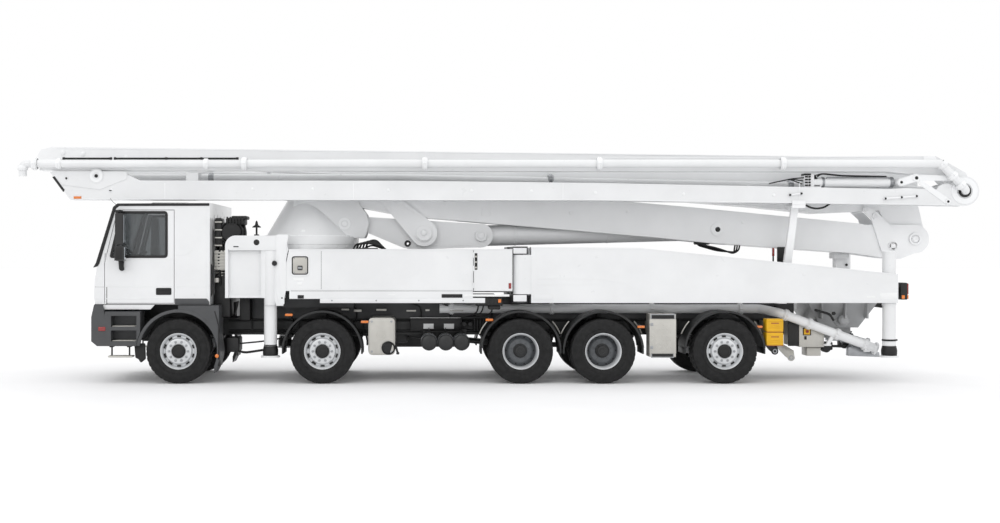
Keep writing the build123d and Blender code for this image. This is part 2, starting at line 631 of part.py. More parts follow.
# ---------------------------------------------------------------- pump at the rear
def build_pump():
    def funnel(inset):
        top = Pos(5817, 0, 1500 + inset) * Rectangle(1400 - 2 * inset, 1500 - 2 * inset)
        low = Pos(5830, 0, 882 + inset) * Rectangle(640 - 2 * inset, 900 - 2 * inset)
        return loft([low, top])

    hopper = funnel(0) - funnel(10)
    hopper += box((5400, 6060), (-330, 330), (700, 895)) - funnel(10)
    for side in SIDES:
        hopper += box((RAIL_X[1], 5640), span(side, RAIL_Y - 60, RAIL_Y), (900, 1000)) - funnel(10)
    keep("hopper", hopper)
    cylinders = [rod((2900, sign * 170, 1640), (5150, sign * 170, 1300), 110) for sign in (-1, 1)]
    cradle = [box((4300, 4380), (-300, 300), (SUB_Z[0] + 60, 1360)),
              box((3000, 3080), (-300, 300), (SUB_Z[0] + 60, 1560))]
    keep("pump_cylinders", fuse(cylinders + cradle))
    line = pipe([(6317, -860, 550), (4700, -860, 1150), (4420, -590, 1210), (-1000, -590, 1210)],
                76, 150)
    stays = [box((x - 25, x + 25), (-560, -RAIL_Y), (1190, 1230)) for x in (-200, 2300, 4100)]
    keep("delivery_line", fuse([line] + stays))


# ---------------------------------------------------------------- turret and lift linkage
def build_turret():
    ring = post(SLEW_X, 0, DRUM_R, RING_Z[0], RING_Z[1])
    base = Pos(SLEW_X, 0, RING_Z[1]) * Circle(BELL[0])
    top = Pos(SLEW_X - 93, 0, BELL[2]) * Circle(BELL[1])
    shapes = [ring, loft([base, top])]
    ax, az = PIVOT_A
    px, pz = ROCKER_PIVOT
    cheek = [(SLEW_X - 330, RING_Z[1] - 20), (SLEW_X - 240, 3100), (SLEW_X + 290, 3300),
             (ax, az + 230), (ax + 210, az + 45), (px + 260, pz + 320), (px + 380, pz + 160),
             (px + 412, pz), (px + 370, pz - 180), (px + 340, RING_Z[1] - 20)]
    for side in SIDES:
        y0, y1 = span(side, SEC1_HALF + GAP, SEC1_HALF + GAP + LUG_T)
        shapes.append(plate(cheek, y0, y1))
    outer = SEC1_HALF + GAP + LUG_T
    shapes.append(box((SLEW_X - 330, SLEW_X + 240), (-outer, outer), (RING_Z[1] - 20, 2800)))
    body = fuse(shapes) - box((px - 170, px + 600), (-ROCKER_HALF - GAP, ROCKER_HALF + GAP),
                              (RING_Z[1] + 4, 2900))
    body += disc(ax, az, 70, -outer, outer)
    body += disc(px, pz, 60, -outer, outer)
    riser = pipe([(SLEW_X, 200, 2700), (ax, 600, 2700), (ax, 600, az), (ax, 510, az)],
                 PIPE_R, PIPE_BEND)
    keep("turret", body + riser)


def build_linkage():
    """Rocker with its forked tip, and the teardrop link with the pin that joins them."""
    px, pz = ROCKER_PIVOT
    qx, qz = LINK_FOOT
    tx, tz = ROCKER_TIP
    web = plate([(px, pz + 140), (tx, tz + 200), (tx, tz - 200), (qx - 216, qz - 284),
                 (qx - 366, qz - 250), (px + 384, pz - 156), (px + 60, pz - 130)],
                -ROCKER_HALF, ROCKER_HALF)
    web += disc(px, pz, 150, -ROCKER_HALF, ROCKER_HALF)
    web += disc(tx, tz, 205, -ROCKER_HALF, ROCKER_HALF)
    web -= box((tx - 380, tx + 300), (-BARREL_R - 12, BARREL_R + 12), (tz - 400, tz + 400))
    web += disc(tx, tz, 60, -ROCKER_HALF - 30, ROCKER_HALF + 30)
    web -= disc(px, pz, 60 + FIT, -ROCKER_HALF - 1, ROCKER_HALF + 1)
    web -= disc(qx, qz, 60 + FIT, -ROCKER_HALF - 1, ROCKER_HALF + 1)
    web -= disc(qx - 282, qz - 180, 40, -ROCKER_HALF - 1, ROCKER_HALF + 1)
    keep("lift_rocker", web)
    rx, rz = LINK_HEAD
    shapes = [disc(qx, qz, 60, -LINK_OUT, LINK_OUT)]
    for side in SIDES:
        y0, y1 = span(side, SEC1_HALF + GAP, LINK_OUT)
        shapes.append(hull([(qx, qz, 228), (rx, rz, 110)], y0, y1))
        y0, y1 = span(side, LINK_OUT - 1, LINK_OUT + 18)
        shapes.append(disc(qx, qz, 150, y0, y1))
        shapes.append(disc(rx, rz, 66, y0, y1))
    keep("lift_link", fuse(shapes))


LINK_OUT = SEC1_HALF + GAP + 34


def build_lift_cylinder():
    tx, tz = ROCKER_TIP
    ex, ez = ROD_EYE
    angle = atan2(ez - tz, ex - tx)
    length = hypot(ex - tx, ez - tz)

    def along(distance):
        return (tx + distance * cos(angle), 0, tz + distance * sin(angle))

    foot = disc(tx, tz, 150, -BARREL_R, BARREL_R)
    barrel = rod(along(100), along(length - 420), BARREL_R)
    barrel = foot + barrel - disc(tx, tz, 60 + FIT, -BARREL_R - 1, BARREL_R + 1)
    keep("lift_cylinder_barrel", barrel - rod(along(260), along(length), 96))
    stem = rod(along(420), along(length - 100), 90)
    eye = disc(ex, ez, 110, -120, 120)
    keep("lift_cylinder_rod", stem + eye - disc(ex, ez, 47, -121, 121))


# ---------------------------------------------------------------- boom
def build_section_1():
    ax, az = PIVOT_A
    bx, bz = PIVOT_B
    ex, ez = ROD_EYE
    outline = [(ax - 60, az - 200), (ax + 1069, 2792), (ex - 989, 2413), (ex - 146, 2327),
               (bx - 680, 2122), (bx - 880, 2655), (ex - 473, 2946), (ax + 760, 3400),
               (ax, az + 220)]
    beam = plate(outline, -SEC1_HALF, SEC1_HALF)
    beam += disc(ax, az, 225, -SEC1_HALF, SEC1_HALF)
    slot_top = ez + 250
    slot = plate([(ROCKER_TIP[0] - 420, 2000), (ROCKER_TIP[0] - 420, slot_top - 40),
                  (ex + 215, slot_top), (ex + 215, 2000)], -BARREL_R - 15, BARREL_R + 15)
    beam -= slot
    lug = [(bx - 980, 2140), (bx - 980, 2640), (bx, bz + 245), (bx + 151, bz - 184),
           (bx - 249, bz - 342), (bx - 490, bz - 327)]
    for side in SIDES:
        y0, y1 = span(side, SEC2_HALF + GAP, SEC1_HALF)
        beam += plate(lug, y0, y1)
        beam += disc(bx, bz, 245, y0, y1)
        y0, y1 = span(side, SEC1_HALF - 1, SEC1_HALF + 34)
        beam += hull([(bx - 392, bz - 117, 210), (bx - 700, 2790, 75)], y0, y1)
        beam += hull([(bx - 700, 2790, 75), (bx - 845, 2900, 60)], y0, y1)
        beam += disc(bx - 392, bz - 117, 66, *span(side, SEC1_HALF, SEC1_HALF + 60))
        beam += disc(ex, ez, 115, *span(side, SEC1_HALF - 1, SEC1_HALF + 20))
        beam += disc(ex, ez, 45, *span(side, 125, SEC1_HALF))
    beam -= disc(ax, az, 70 + FIT, -SEC1_HALF - 1, SEC1_HALF + 1)
    beam -= disc(bx, bz, 60 + FIT, -SEC1_HALF - 1, SEC1_HALF + 1)
    line = pipe([(ax, 510 - GAP, az), (ax, PIPE1_Y, az), (ax + 600, PIPE1_Y, az + 60),
                 (bx - 680, PIPE1_Y, 2560), (bx, PIPE1_Y, bz), (bx, 500, bz)], PIPE_R, PIPE_BEND)
    stays = [box((x - 30, x + 30), (SEC1_HALF - 1, PIPE1_Y), (z - 25, z + 25))
             for x, z in ((1000, 3013), (5000, 2684))]
    keep("boom_section_1", fuse([beam, line] + stays))


def build_section_2():
    bx, bz = PIVOT_B
    cx, cz = PIVOT_C
    outline = [(cx - 250, cz + 60), (cx + 417, cz - 27), (cx + 1767, cz + 149),
               (cx + 2400, cz + 149), (cx + 4700, cz + 29), (bx - 2709, 2950),
               (bx - 1656, 2840), (bx - 1190, 2860), (bx - 593, 2887), (bx - 484, 2656),
               (bx - 235, bz), (bx + 235, bz), (bx + 161, 2623), (bx + 82, 2954),
               (bx + 60, 3640), (bx - 280, 3806), (cx - 950, 3985), (cx - 1140, 3940), (cx - 1204, 3840),
               (cx - 1180, 3760)]
    beam = plate(outline, -SEC2_HALF, SEC2_HALF)
    beam += disc(cx, cz, 180, -SEC2_HALF, SEC2_HALF)
    beam += disc(bx, bz, 235, -SEC2_HALF, SEC2_HALF)
    beam += disc(bx, bz, 60, -SEC1_HALF - 20, SEC1_HALF + 20)
    beam -= disc(cx, cz, 90 + FIT, -SEC2_HALF - 1, SEC2_HALF + 1)
    line = pipe([(bx, 500 + GAP, bz), (bx, PIPE2_Y + 60, bz), (bx - 300, PIPE2_Y, 3300),
                 (cx + 432, PIPE2_Y, 3600), (cx, PIPE2_Y, cz), (cx, SEC2_HALF + 10, cz)],
                PIPE_R, PIPE_BEND)
    stays = [box((x - 30, x + 30), (SEC2_HALF - 1, PIPE2_Y), (z - 25, z + 25))
             for x, z in ((0, 3457), (-4000, 3548))]
    keep("boom_section_2", fuse([beam, line] + stays))


def build_section_3():
    cx, cz = PIVOT_C
    dx, dz = PIVOT_D
    outline = [(cx - 779, cz + 66), (cx - 444, cz - 394), (cx + 8407, cz - 409), (dx, dz - 245),
               (dx, dz), (dx - 960, 3240), (dx - 1244, 3224), (dx - 2747, 3257),
               (cx + 8407, 3324), (cx + 5067, 3362), (cx + 725, 3366), (cx + 432, cz + 59)]
    beam = plate(outline, *SEC3_Y)
    for x, z, r in ((dx, dz, 249), (dx - 300, dz - 60, 185)):
        beam += disc(x, z, r, *SEC3_Y)
    beam -= box((dx - 960, dx + 400), (SEC4_Y[0] - GAP, SEC4_Y[1] + GAP), (dz - 300, dz + 300))
    tube = disc(cx, cz, 130, SEC3_Y[1], -SEC2_HALF - GAP)
    pin_c = disc(cx, cz, 90, SEC3_Y[1], SEC2_HALF)
    near = SEC3_Y[0]
    plate_c = plate([(cx - 748, cz + 78), (cx - 569, cz - 145), (cx + 54, cz - 227),
                     (cx + 511, cz - 45), (cx + 499, cz + 78)], near - 14, near + 1)
    bosses = [disc(cx, cz, 122, near - 22, near), disc(cx - 500, cz - 40, 36, near - 22, near)]
    rest = box((cx + 1490, cx + 1690), (SEC4_Y[0], SEC4_Y[1]), (3340, 3500))
    beam = fuse([beam, tube, pin_c, plate_c, rest] + bosses)
    beam -= disc(dx, dz, 90 + FIT, SEC3_Y[0] - 1, SEC3_Y[1] + 1)
    line = pipe([(cx + 120, PIPE3_Y, cz), (cx + 5067, PIPE3_Y, 3440), (dx - 1062, PIPE3_Y, 3270),
                 (dx - 60, PIPE3_Y, dz)], PIPE_R, 200)
    stays = [box((x - 30, x + 30), (SEC3_Y[1] - 1, PIPE3_Y), (z - 25, z + 25))
             for x, z in ((cx + 2200, 3330), (dx - 3500, 3280))]
    keep("boom_section_3", fuse([beam, line] + stays))


def build_section_3_gear():
    """Folding gear for section 4: valve block, cylinder, levers and link bars."""
    dx, dz = PIVOT_D
    cylinder_z = 3345.0
    y_axis = (SEC3_Y[0] + SEC3_Y[1]) / 2
    block = box((dx - 2640, dx - 2480), (y_axis - 90, y_axis + 90), (3245, 3480))
    bracket = plate([(dx - 2500, 3200), (dx - 2500, 3490), (dx - 2440, 3490), (dx - 2330, 3200)],
                    y_axis - 60, y_axis + 60)
    barrel = rod((dx - 2480, y_axis, cylinder_z), (dx - 1140, y_axis, cylinder_z), 80)
    near = SEC3_Y[0]
    eye = disc(dx - 1060, cylinder_z - 10, 64, near - 12, y_axis + 60)
    gear = [fuse([block, bracket, barrel, eye, rod((dx - 1141, y_axis, cylinder_z),
                                                  (dx - 1060, y_axis, cylinder_z - 10), 45)])]
    levers = [hull([(dx - 1060, 3335, 60), (dx - 810, 3415, 66)], near - 12, near),
              hull([(dx - 810, 3415, 50), (dx - 208, 3402, 42)], near - 12, near),
              hull([(dx - 730, 3330, 40), (dx - 280, 3013, 51)], near - 12, near)]
    bosses = [disc(dx - 810, 3415, 45, near - 16, near), disc(dx - 280, 3013, 40, near - 16, near)]
    keep("section_3_gear", fuse(gear + levers + bosses) - NODES["boom_section_3"])


def build_section_4():
    dx, dz = PIVOT_D
    outline = [(TIP_X + 235, 3540), (dx - 1262, 3518), (dx - 412, 3420), (dx - 190, dz),
               (dx, dz - 190), (dx + 190, dz), (dx + 40, 3500), (dx - 462, 3777),
               (dx - 1262, 3777), (TIP_X + 235, 3700)]
    beam = plate(outline, *SEC4_Y)
    beam += disc(dx, dz, 190, *SEC4_Y)
    beam += disc(dx, dz, 90, SEC3_Y[0] - 20, SEC3_Y[1] + 20)
    keep("boom_section_4", beam)
    line = pipe([(TIP_X, PIPE4_Y, SPIGOT_Z), (TIP_X, PIPE4_Y, PIPE4_Z),
                 (dx - 430, PIPE4_Y, PIPE4_Z), (dx, PIPE4_Y, dz), (dx, SEC3_Y[0] - 20, dz)],
                PIPE_R, PIPE_BEND)
    places = [TIP_X + 200, -4250, -1250, 1650, 4700]
    clamps = [collar(x, PIPE4_Y, PIPE4_Z, COUPLING_R, 60) for x in places]
    stays = [box((x - 20, x + 20), (PIPE4_Y + 40, SEC4_Y[0]), (PIPE4_Z - 25, PIPE4_Z + 25))
             for x in [TIP_X + 500] + places[1:]]
    stop = post(TIP_X, PIPE4_Y, COUPLING_R, SPIGOT_Z + SPIGOT_LENGTH, SPIGOT_Z + SPIGOT_LENGTH + 34)
    keep("section_4_pipe", fuse([line, stop] + clamps + stays))
    hose_z = PIPE4_Z + PIPE_R + END_HOSE_R + 0.1
    keep("end_hose", rod((TIP_X + 682, PIPE4_Y, hose_z), (-4367, PIPE4_Y, hose_z), END_HOSE_R))


def main():
    os.makedirs("parts", exist_ok=True)
    build_wheels()
    build_knuckles()
    build_axles()
    build_chassis()
    build_subframe()
    build_front_arms()
    build_jacks()
    build_rear_arms()
    build_cab()
    build_cab_front()
    build_deck()
    build_mudguards()
    build_frame_gear()
    build_rests()
    build_pump()
    build_turret()
    build_linkage()
    build_lift_cylinder()
    build_section_1()
    build_section_2()
    build_section_3()
    build_section_3_gear()
    build_section_4()
    for name, shape in NODES.items():
        export_step(shape, f"parts/{name}.step")
    print(len(NODES), "nodes")


main()
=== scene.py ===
import json
import math

import bmesh
import bpy
from mathutils import Matrix, Vector

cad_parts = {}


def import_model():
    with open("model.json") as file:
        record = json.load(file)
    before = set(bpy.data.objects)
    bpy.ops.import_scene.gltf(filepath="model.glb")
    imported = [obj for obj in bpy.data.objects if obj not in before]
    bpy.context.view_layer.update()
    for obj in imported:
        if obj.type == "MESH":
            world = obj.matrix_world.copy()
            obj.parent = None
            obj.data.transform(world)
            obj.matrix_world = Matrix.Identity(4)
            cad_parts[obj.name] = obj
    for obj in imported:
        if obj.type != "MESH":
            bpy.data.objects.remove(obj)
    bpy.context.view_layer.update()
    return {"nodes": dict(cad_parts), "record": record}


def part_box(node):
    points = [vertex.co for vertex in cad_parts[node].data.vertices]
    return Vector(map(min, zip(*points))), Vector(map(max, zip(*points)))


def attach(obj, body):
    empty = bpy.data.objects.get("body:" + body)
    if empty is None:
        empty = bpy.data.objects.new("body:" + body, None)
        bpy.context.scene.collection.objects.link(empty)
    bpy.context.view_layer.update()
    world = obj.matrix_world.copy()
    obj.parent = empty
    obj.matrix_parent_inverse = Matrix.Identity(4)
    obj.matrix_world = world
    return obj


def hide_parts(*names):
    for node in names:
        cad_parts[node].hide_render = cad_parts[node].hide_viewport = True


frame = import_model()
JOINT = {j["name"]: Vector(j["pos_m"]) for j in frame["record"]["behaviour"]["joints"]
         if "pos_m" in j}
SIDES = {"left": -1, "right": 1}


# ---------------------------------------------------------------- materials
def srgb(value):
    """Linear colour from a 0-255 sRGB triple."""
    return tuple(
        c / 255 / 12.92 if c <= 10 else ((c / 255 + 0.055) / 1.055) ** 2.4 for c in value
    ) + (1.0,)


class Nodes:
    """Short way to wire a material's nodes."""

    def __init__(self, name):
        self.mat = bpy.data.materials.new(name)
        self.mat.use_nodes = True
        self.tree = self.mat.node_tree
        self.shader = self.tree.nodes["Principled BSDF"]

    def add(self, kind, **values):
        """New node; each value is one of its settings or else one of its inputs."""
        node = self.tree.nodes.new(kind)
        for key, value in values.items():
            if hasattr(node, key):
                setattr(node, key, value)
            else:
                node.inputs[key.replace("_", " ")].default_value = value
        return node

    def wire(self, source, target):
        self.tree.links.new(source, target)

    def place(self, scale):
        """Object coordinates, scaled alike in all directions."""
        mapping = self.add("ShaderNodeMapping")
        mapping.inputs["Scale"].default_value = (scale,) * 3
        self.wire(self.add("ShaderNodeTexCoord").outputs["Object"], mapping.inputs["Vector"])
        return mapping.outputs["Vector"]

    def noise(self, scale, detail, rough=0.55):
        node = self.add("ShaderNodeTexNoise", Detail=detail, Roughness=rough, Scale=1.0)
        self.wire(self.place(scale), node.inputs["Vector"])
        return node.outputs["Fac"]

    def ramp(self, value, low, high):
        """Colour between two (position, colour) stops."""
        node = self.add("ShaderNodeValToRGB")
        for stop, (position, colour) in zip(node.color_ramp.elements, (low, high)):
            stop.position, stop.color = position, colour
        self.wire(value, node.inputs["Fac"])
        return node.outputs["Color"]

    def mottled(self, colour, keep, scale, detail, low=0.3, high=0.7, rough=0.55):
        """Colour that sinks to a share of itself in soft blotches."""
        base = srgb(colour)
        dark = tuple(c * keep for c in base[:3]) + (1.0,)
        return self.ramp(self.noise(scale, detail, rough), (low, dark), (high, base))

    def span(self, value, low, high, to_low, to_high):
        """Value carried over from one range to another."""
        node = self.add("ShaderNodeMapRange")
        for key, number in zip(("From Min", "From Max", "To Min", "To Max"),
                               (low, high, to_low, to_high)):
            node.inputs[key].default_value = number
        self.wire(value, node.inputs["Value"])
        return node.outputs["Result"]

    def bump(self, height, strength, distance):
        node = self.add("ShaderNodeBump", Strength=strength, Distance=distance)
        self.wire(height, node.inputs["Height"])
        return node.outputs["Normal"]

    def finish(self, colour, rough=None, normal=None, metal=0.0, **numbers):
        """Wires the main inputs, sets the numbers and hands back the material."""
        for source, name in ((colour, "Base Color"), (rough, "Roughness"), (normal, "Normal")):
            if source is not None:
                self.wire(source, self.shader.inputs[name])
        for key, value in (("Metallic", metal), *numbers.items()):
            self.shader.inputs[key.replace("_", " ")].default_value = value
        return self.mat


def sprayed(n, tone, rough, metal, coat, coat_rough):
    """Paint over a tone: gloss that wanders a little and an orange-peel relief."""
    gloss = n.span(n.noise(7.0, 6.0), 0.3, 0.7, rough * 0.85, rough * 1.2)
    peel = n.bump(n.noise(90.0, 2.0), 0.25, 0.00015)
    return n.finish(tone, gloss, peel, metal, Coat_Weight=coat, Coat_Roughness=coat_rough)


def painted(name, colour, rough, dirt=0.06, coat=0.35, metal=0.0):
    """Sprayed paint with a slight change of tone."""
    n = Nodes(name)
    return sprayed(n, n.mottled(colour, 1 - dirt, 1.3, 5.0, 0.35, 0.62), rough, metal, coat, 0.08)


def two_tone(name, colour, outer, edge, rough=0.34):
    """Painted skin whose parts further out than edge, such as mirror housings, are plastic."""
    n = Nodes(name)
    split = n.add("ShaderNodeSeparateXYZ")
    n.wire(n.add("ShaderNodeTexCoord").outputs["Object"], split.inputs["Vector"])
    size = n.add("ShaderNodeMath", operation="ABSOLUTE")
    n.wire(split.outputs["Y"], size.inputs[0])
    beyond = n.add("ShaderNodeMath", operation="GREATER_THAN")
    beyond.inputs[1].default_value = edge
    n.wire(size.outputs["Value"], beyond.inputs[0])
    blend = n.add("ShaderNodeMix", data_type="RGBA")
    n.wire(beyond.outputs["Value"], blend.inputs["Factor"])
    n.wire(n.mottled(colour, 0.94, 1.3, 5.0, 0.35, 0.62), blend.inputs[6])
    blend.inputs[7].default_value = srgb(outer)
    return sprayed(n, blend.outputs[2], rough, 0.0, 0.3, 0.1)


def rough_metal(name, colour, rough, spread=0.25, relief=0.0004, scale=40.0, metal=1.0):
    """Bare, galvanised or cast metal with blotches and a fine grain."""
    n = Nodes(name)
    tone = n.mottled(colour, 1 - spread, scale / 4, 6.0, rough=0.6)
    gloss = n.span(n.noise(scale, 5.0), 0.3, 0.7, rough * 0.75, rough * 1.25)
    return n.finish(tone, gloss, n.bump(n.noise(scale * 3, 4.0), 0.4, relief), metal)


def plastic(name, colour, rough, grain=260.0, relief=0.0004):
    """Moulded plastic or rubber with a leather-like grain."""
    n = Nodes(name)
    gloss = n.span(n.noise(12.0, 5.0), 0.3, 0.7, rough * 0.88, min(1.0, rough * 1.12))
    return n.finish(n.mottled(colour, 0.78, 2.2, 4.0), gloss,
                    n.bump(n.noise(grain, 3.0), 0.5, relief))


def lens(name, colour):
    """Coloured lamp glass with fine flutes."""
    n = Nodes(name)
    base = srgb(colour)
    low = tuple(c * 0.7 for c in base[:3]) + (1.0,)
    wave = n.add("ShaderNodeTexWave", Scale=1.0, Distortion=0.0)
    n.wire(n.place(220.0), wave.inputs["Vector"])
    tone = n.ramp(wave.outputs["Fac"], (0.1, low), (0.9, base))
    return n.finish(tone, None, n.bump(wave.outputs["Fac"], 0.6, 0.0008),
                    Roughness=0.12, Coat_Weight=0.9)


def window(name, tint, clearness):
    """Tinted safety glass that lets the cab show through."""
    n = Nodes(name)
    base = srgb(tint)
    pale = tuple(min(1.0, c * 1.15) for c in base[:3]) + (1.0,)
    tone = n.ramp(n.noise(1.1, 3.0), (0.3, base), (0.7, pale))
    gloss = n.span(n.noise(3.0, 3.0), 0.2, 0.8, 0.01, 0.04)
    return n.finish(tone, gloss, n.bump(n.noise(1.5, 1.0), 0.03, 0.002),
                    Transmission_Weight=clearness, IOR=1.45)


WHITE = (232, 233, 234)
MIRROR_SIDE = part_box("cab_shell")[1].y + 0.012
FINISH = {  # what each finish counts as in the record, and its material
    "white": ("white_paint", painted("paint_white", WHITE, 0.32)),
    "door": ("white_paint", two_tone("door_skin", WHITE, (20, 21, 22), MIRROR_SIDE)),
    # the body's white paint made lighter: painted light against the shade on the lower boom and the
    # turret
    "boom": ("white_paint", painted("boom_white_painted_light", (242, 243, 244), 0.36, dirt=0.05)),
    # white labels made lighter than their own white: painted light against the shade they sit in
    "label": ("white_paint", painted("label_white_painted_light", (240, 241, 241), 0.5, dirt=0.08, coat=0.0)),
    "tip": ("white_paint", painted("tip_paint", (214, 206, 178), 0.4, dirt=0.12)),
    # the hopper's white paint coloured grey: painted shade
    "hopper_shade": ("white_paint", painted("hopper_white_painted_shade", (176, 177, 178), 0.45, dirt=0.16, coat=0.1)),
    "rail": ("black_paint", painted("chassis_black", (25, 26, 27), 0.5, dirt=0.3, coat=0.1)),
    "under": ("black_paint", painted("under_grey", (58, 59, 61), 0.5, dirt=0.3, coat=0.1)),
    "rimgrey": ("black_paint", painted("rim_grey", (98, 101, 104), 0.42, 0.3, 0.1, metal=0.3)),
    "cabgrey": ("dark_plastic", plastic("cab_grey", (74, 75, 77), 0.5)),
    "guard": ("dark_plastic", plastic("guard_black", (26, 27, 28), 0.5)),
    "black": ("dark_plastic", plastic("black_plastic", (12, 12, 13), 0.5)),
    "hose": ("hose_rubber", plastic("hose_rubber", (19, 20, 21), 0.62, 180.0)),
    "rubber": ("tyre", plastic("tyre_rubber", (11, 11, 12), 0.78, 140.0, 0.0008)),
    "trim": ("cab_trim", plastic("interior_grey", (88, 90, 93), 0.7)),
    "seat": ("cab_trim", plastic("seat_cloth", (52, 54, 58), 0.9, 420.0, 0.0012)),
    "yellow": ("yellow", plastic("chock_yellow", (238, 184, 16), 0.42)),
    "silver": ("steel", painted("rim_silver", (214, 216, 218), 0.34, 0.12, 0.2, metal=0.35)),
    "steel": ("steel", rough_metal("steel", (172, 174, 177), 0.34)),
    "chrome": ("steel", rough_metal("chrome_rod", (205, 207, 210), 0.1, 0.05, 0.0001)),
    "galv": ("steel", rough_metal("galvanised", (196, 194, 188), 0.42, 0.12, 0.0004, 26.0, 0.55)),
    "mirror": ("glass", rough_metal("mirror_face", (200, 205, 210), 0.05, 0.03, 0.00005)),
    "glass": ("glass", window("cab_glass_tint", (150, 154, 156), 0.85)),
    "amber": ("glass", lens("amber_lens", (240, 128, 24))),
    "red": ("glass", lens("red_lens", (150, 22, 20))),
    "clear": ("glass", lens("clear_lens", (214, 218, 222))),
}
NODE_FINISH = [  # how the frame's nodes are finished, by the start of their names
    ("cab_door", "door"), ("wheel_chocks", "yellow"), ("wheel_", "rubber"), ("knuckle_", "rail"),
    ("axle_mud", "guard"), ("axle_", "rail"), ("chassis", "rail"), ("engine", "rail"),
    ("front_bumper", "cabgrey"), ("cab_fenders", "cabgrey"), ("cab_glass", "glass"),
    ("door_glass", "glass"), ("cab_interior", "trim"), ("subframe", "under"),
    ("hopper", "hopper_shade"), ("pump_cyl", "steel"), ("tanks", "rail"), ("air_intake", "black"),
    ("exhaust", "galv"), ("side_lock", "galv"), ("lift_cylinder_rod", "chrome"),
    # sections 3 and 4 keep the plain white; the lower boom, lift gear and turret take the boom
    # white with its painted light
    ("boom_section_3", "white"), ("boom_section_4", "white"), ("section_4", "white"),
    ("boom", "boom"), ("lift", "boom"), ("section", "boom"),
]
for name, node in frame["nodes"].items():
    finish = next((look for start, look in NODE_FINISH if name.startswith(start)), "white")
    node.data.materials.clear()
    node.data.materials.append(FINISH[finish][1])


# ---------------------------------------------------------------- mesh helpers
AXES = {"x": Vector((1, 0, 0)), "y": Vector((0, 1, 0)), "z": Vector((0, 0, 1))}


def towards(axis):
    """Rotation that turns the z axis to the given direction."""
    direction = AXES[axis] if isinstance(axis, str) else Vector(axis).normalized()
    return direction.to_track_quat("Z", "Y").to_matrix()


def polar(radius, angle):
    """Both coordinates of a point on a circle about the origin."""
    return radius * math.cos(angle), radius * math.sin(angle)


def near(middle, half):
    """Low and high end of a stretch about its middle."""
    return middle - half, middle + half


def around(count, start=0.0):
    """Angles of evenly spread copies."""
    return [math.tau * k / count + start for k in range(count)]


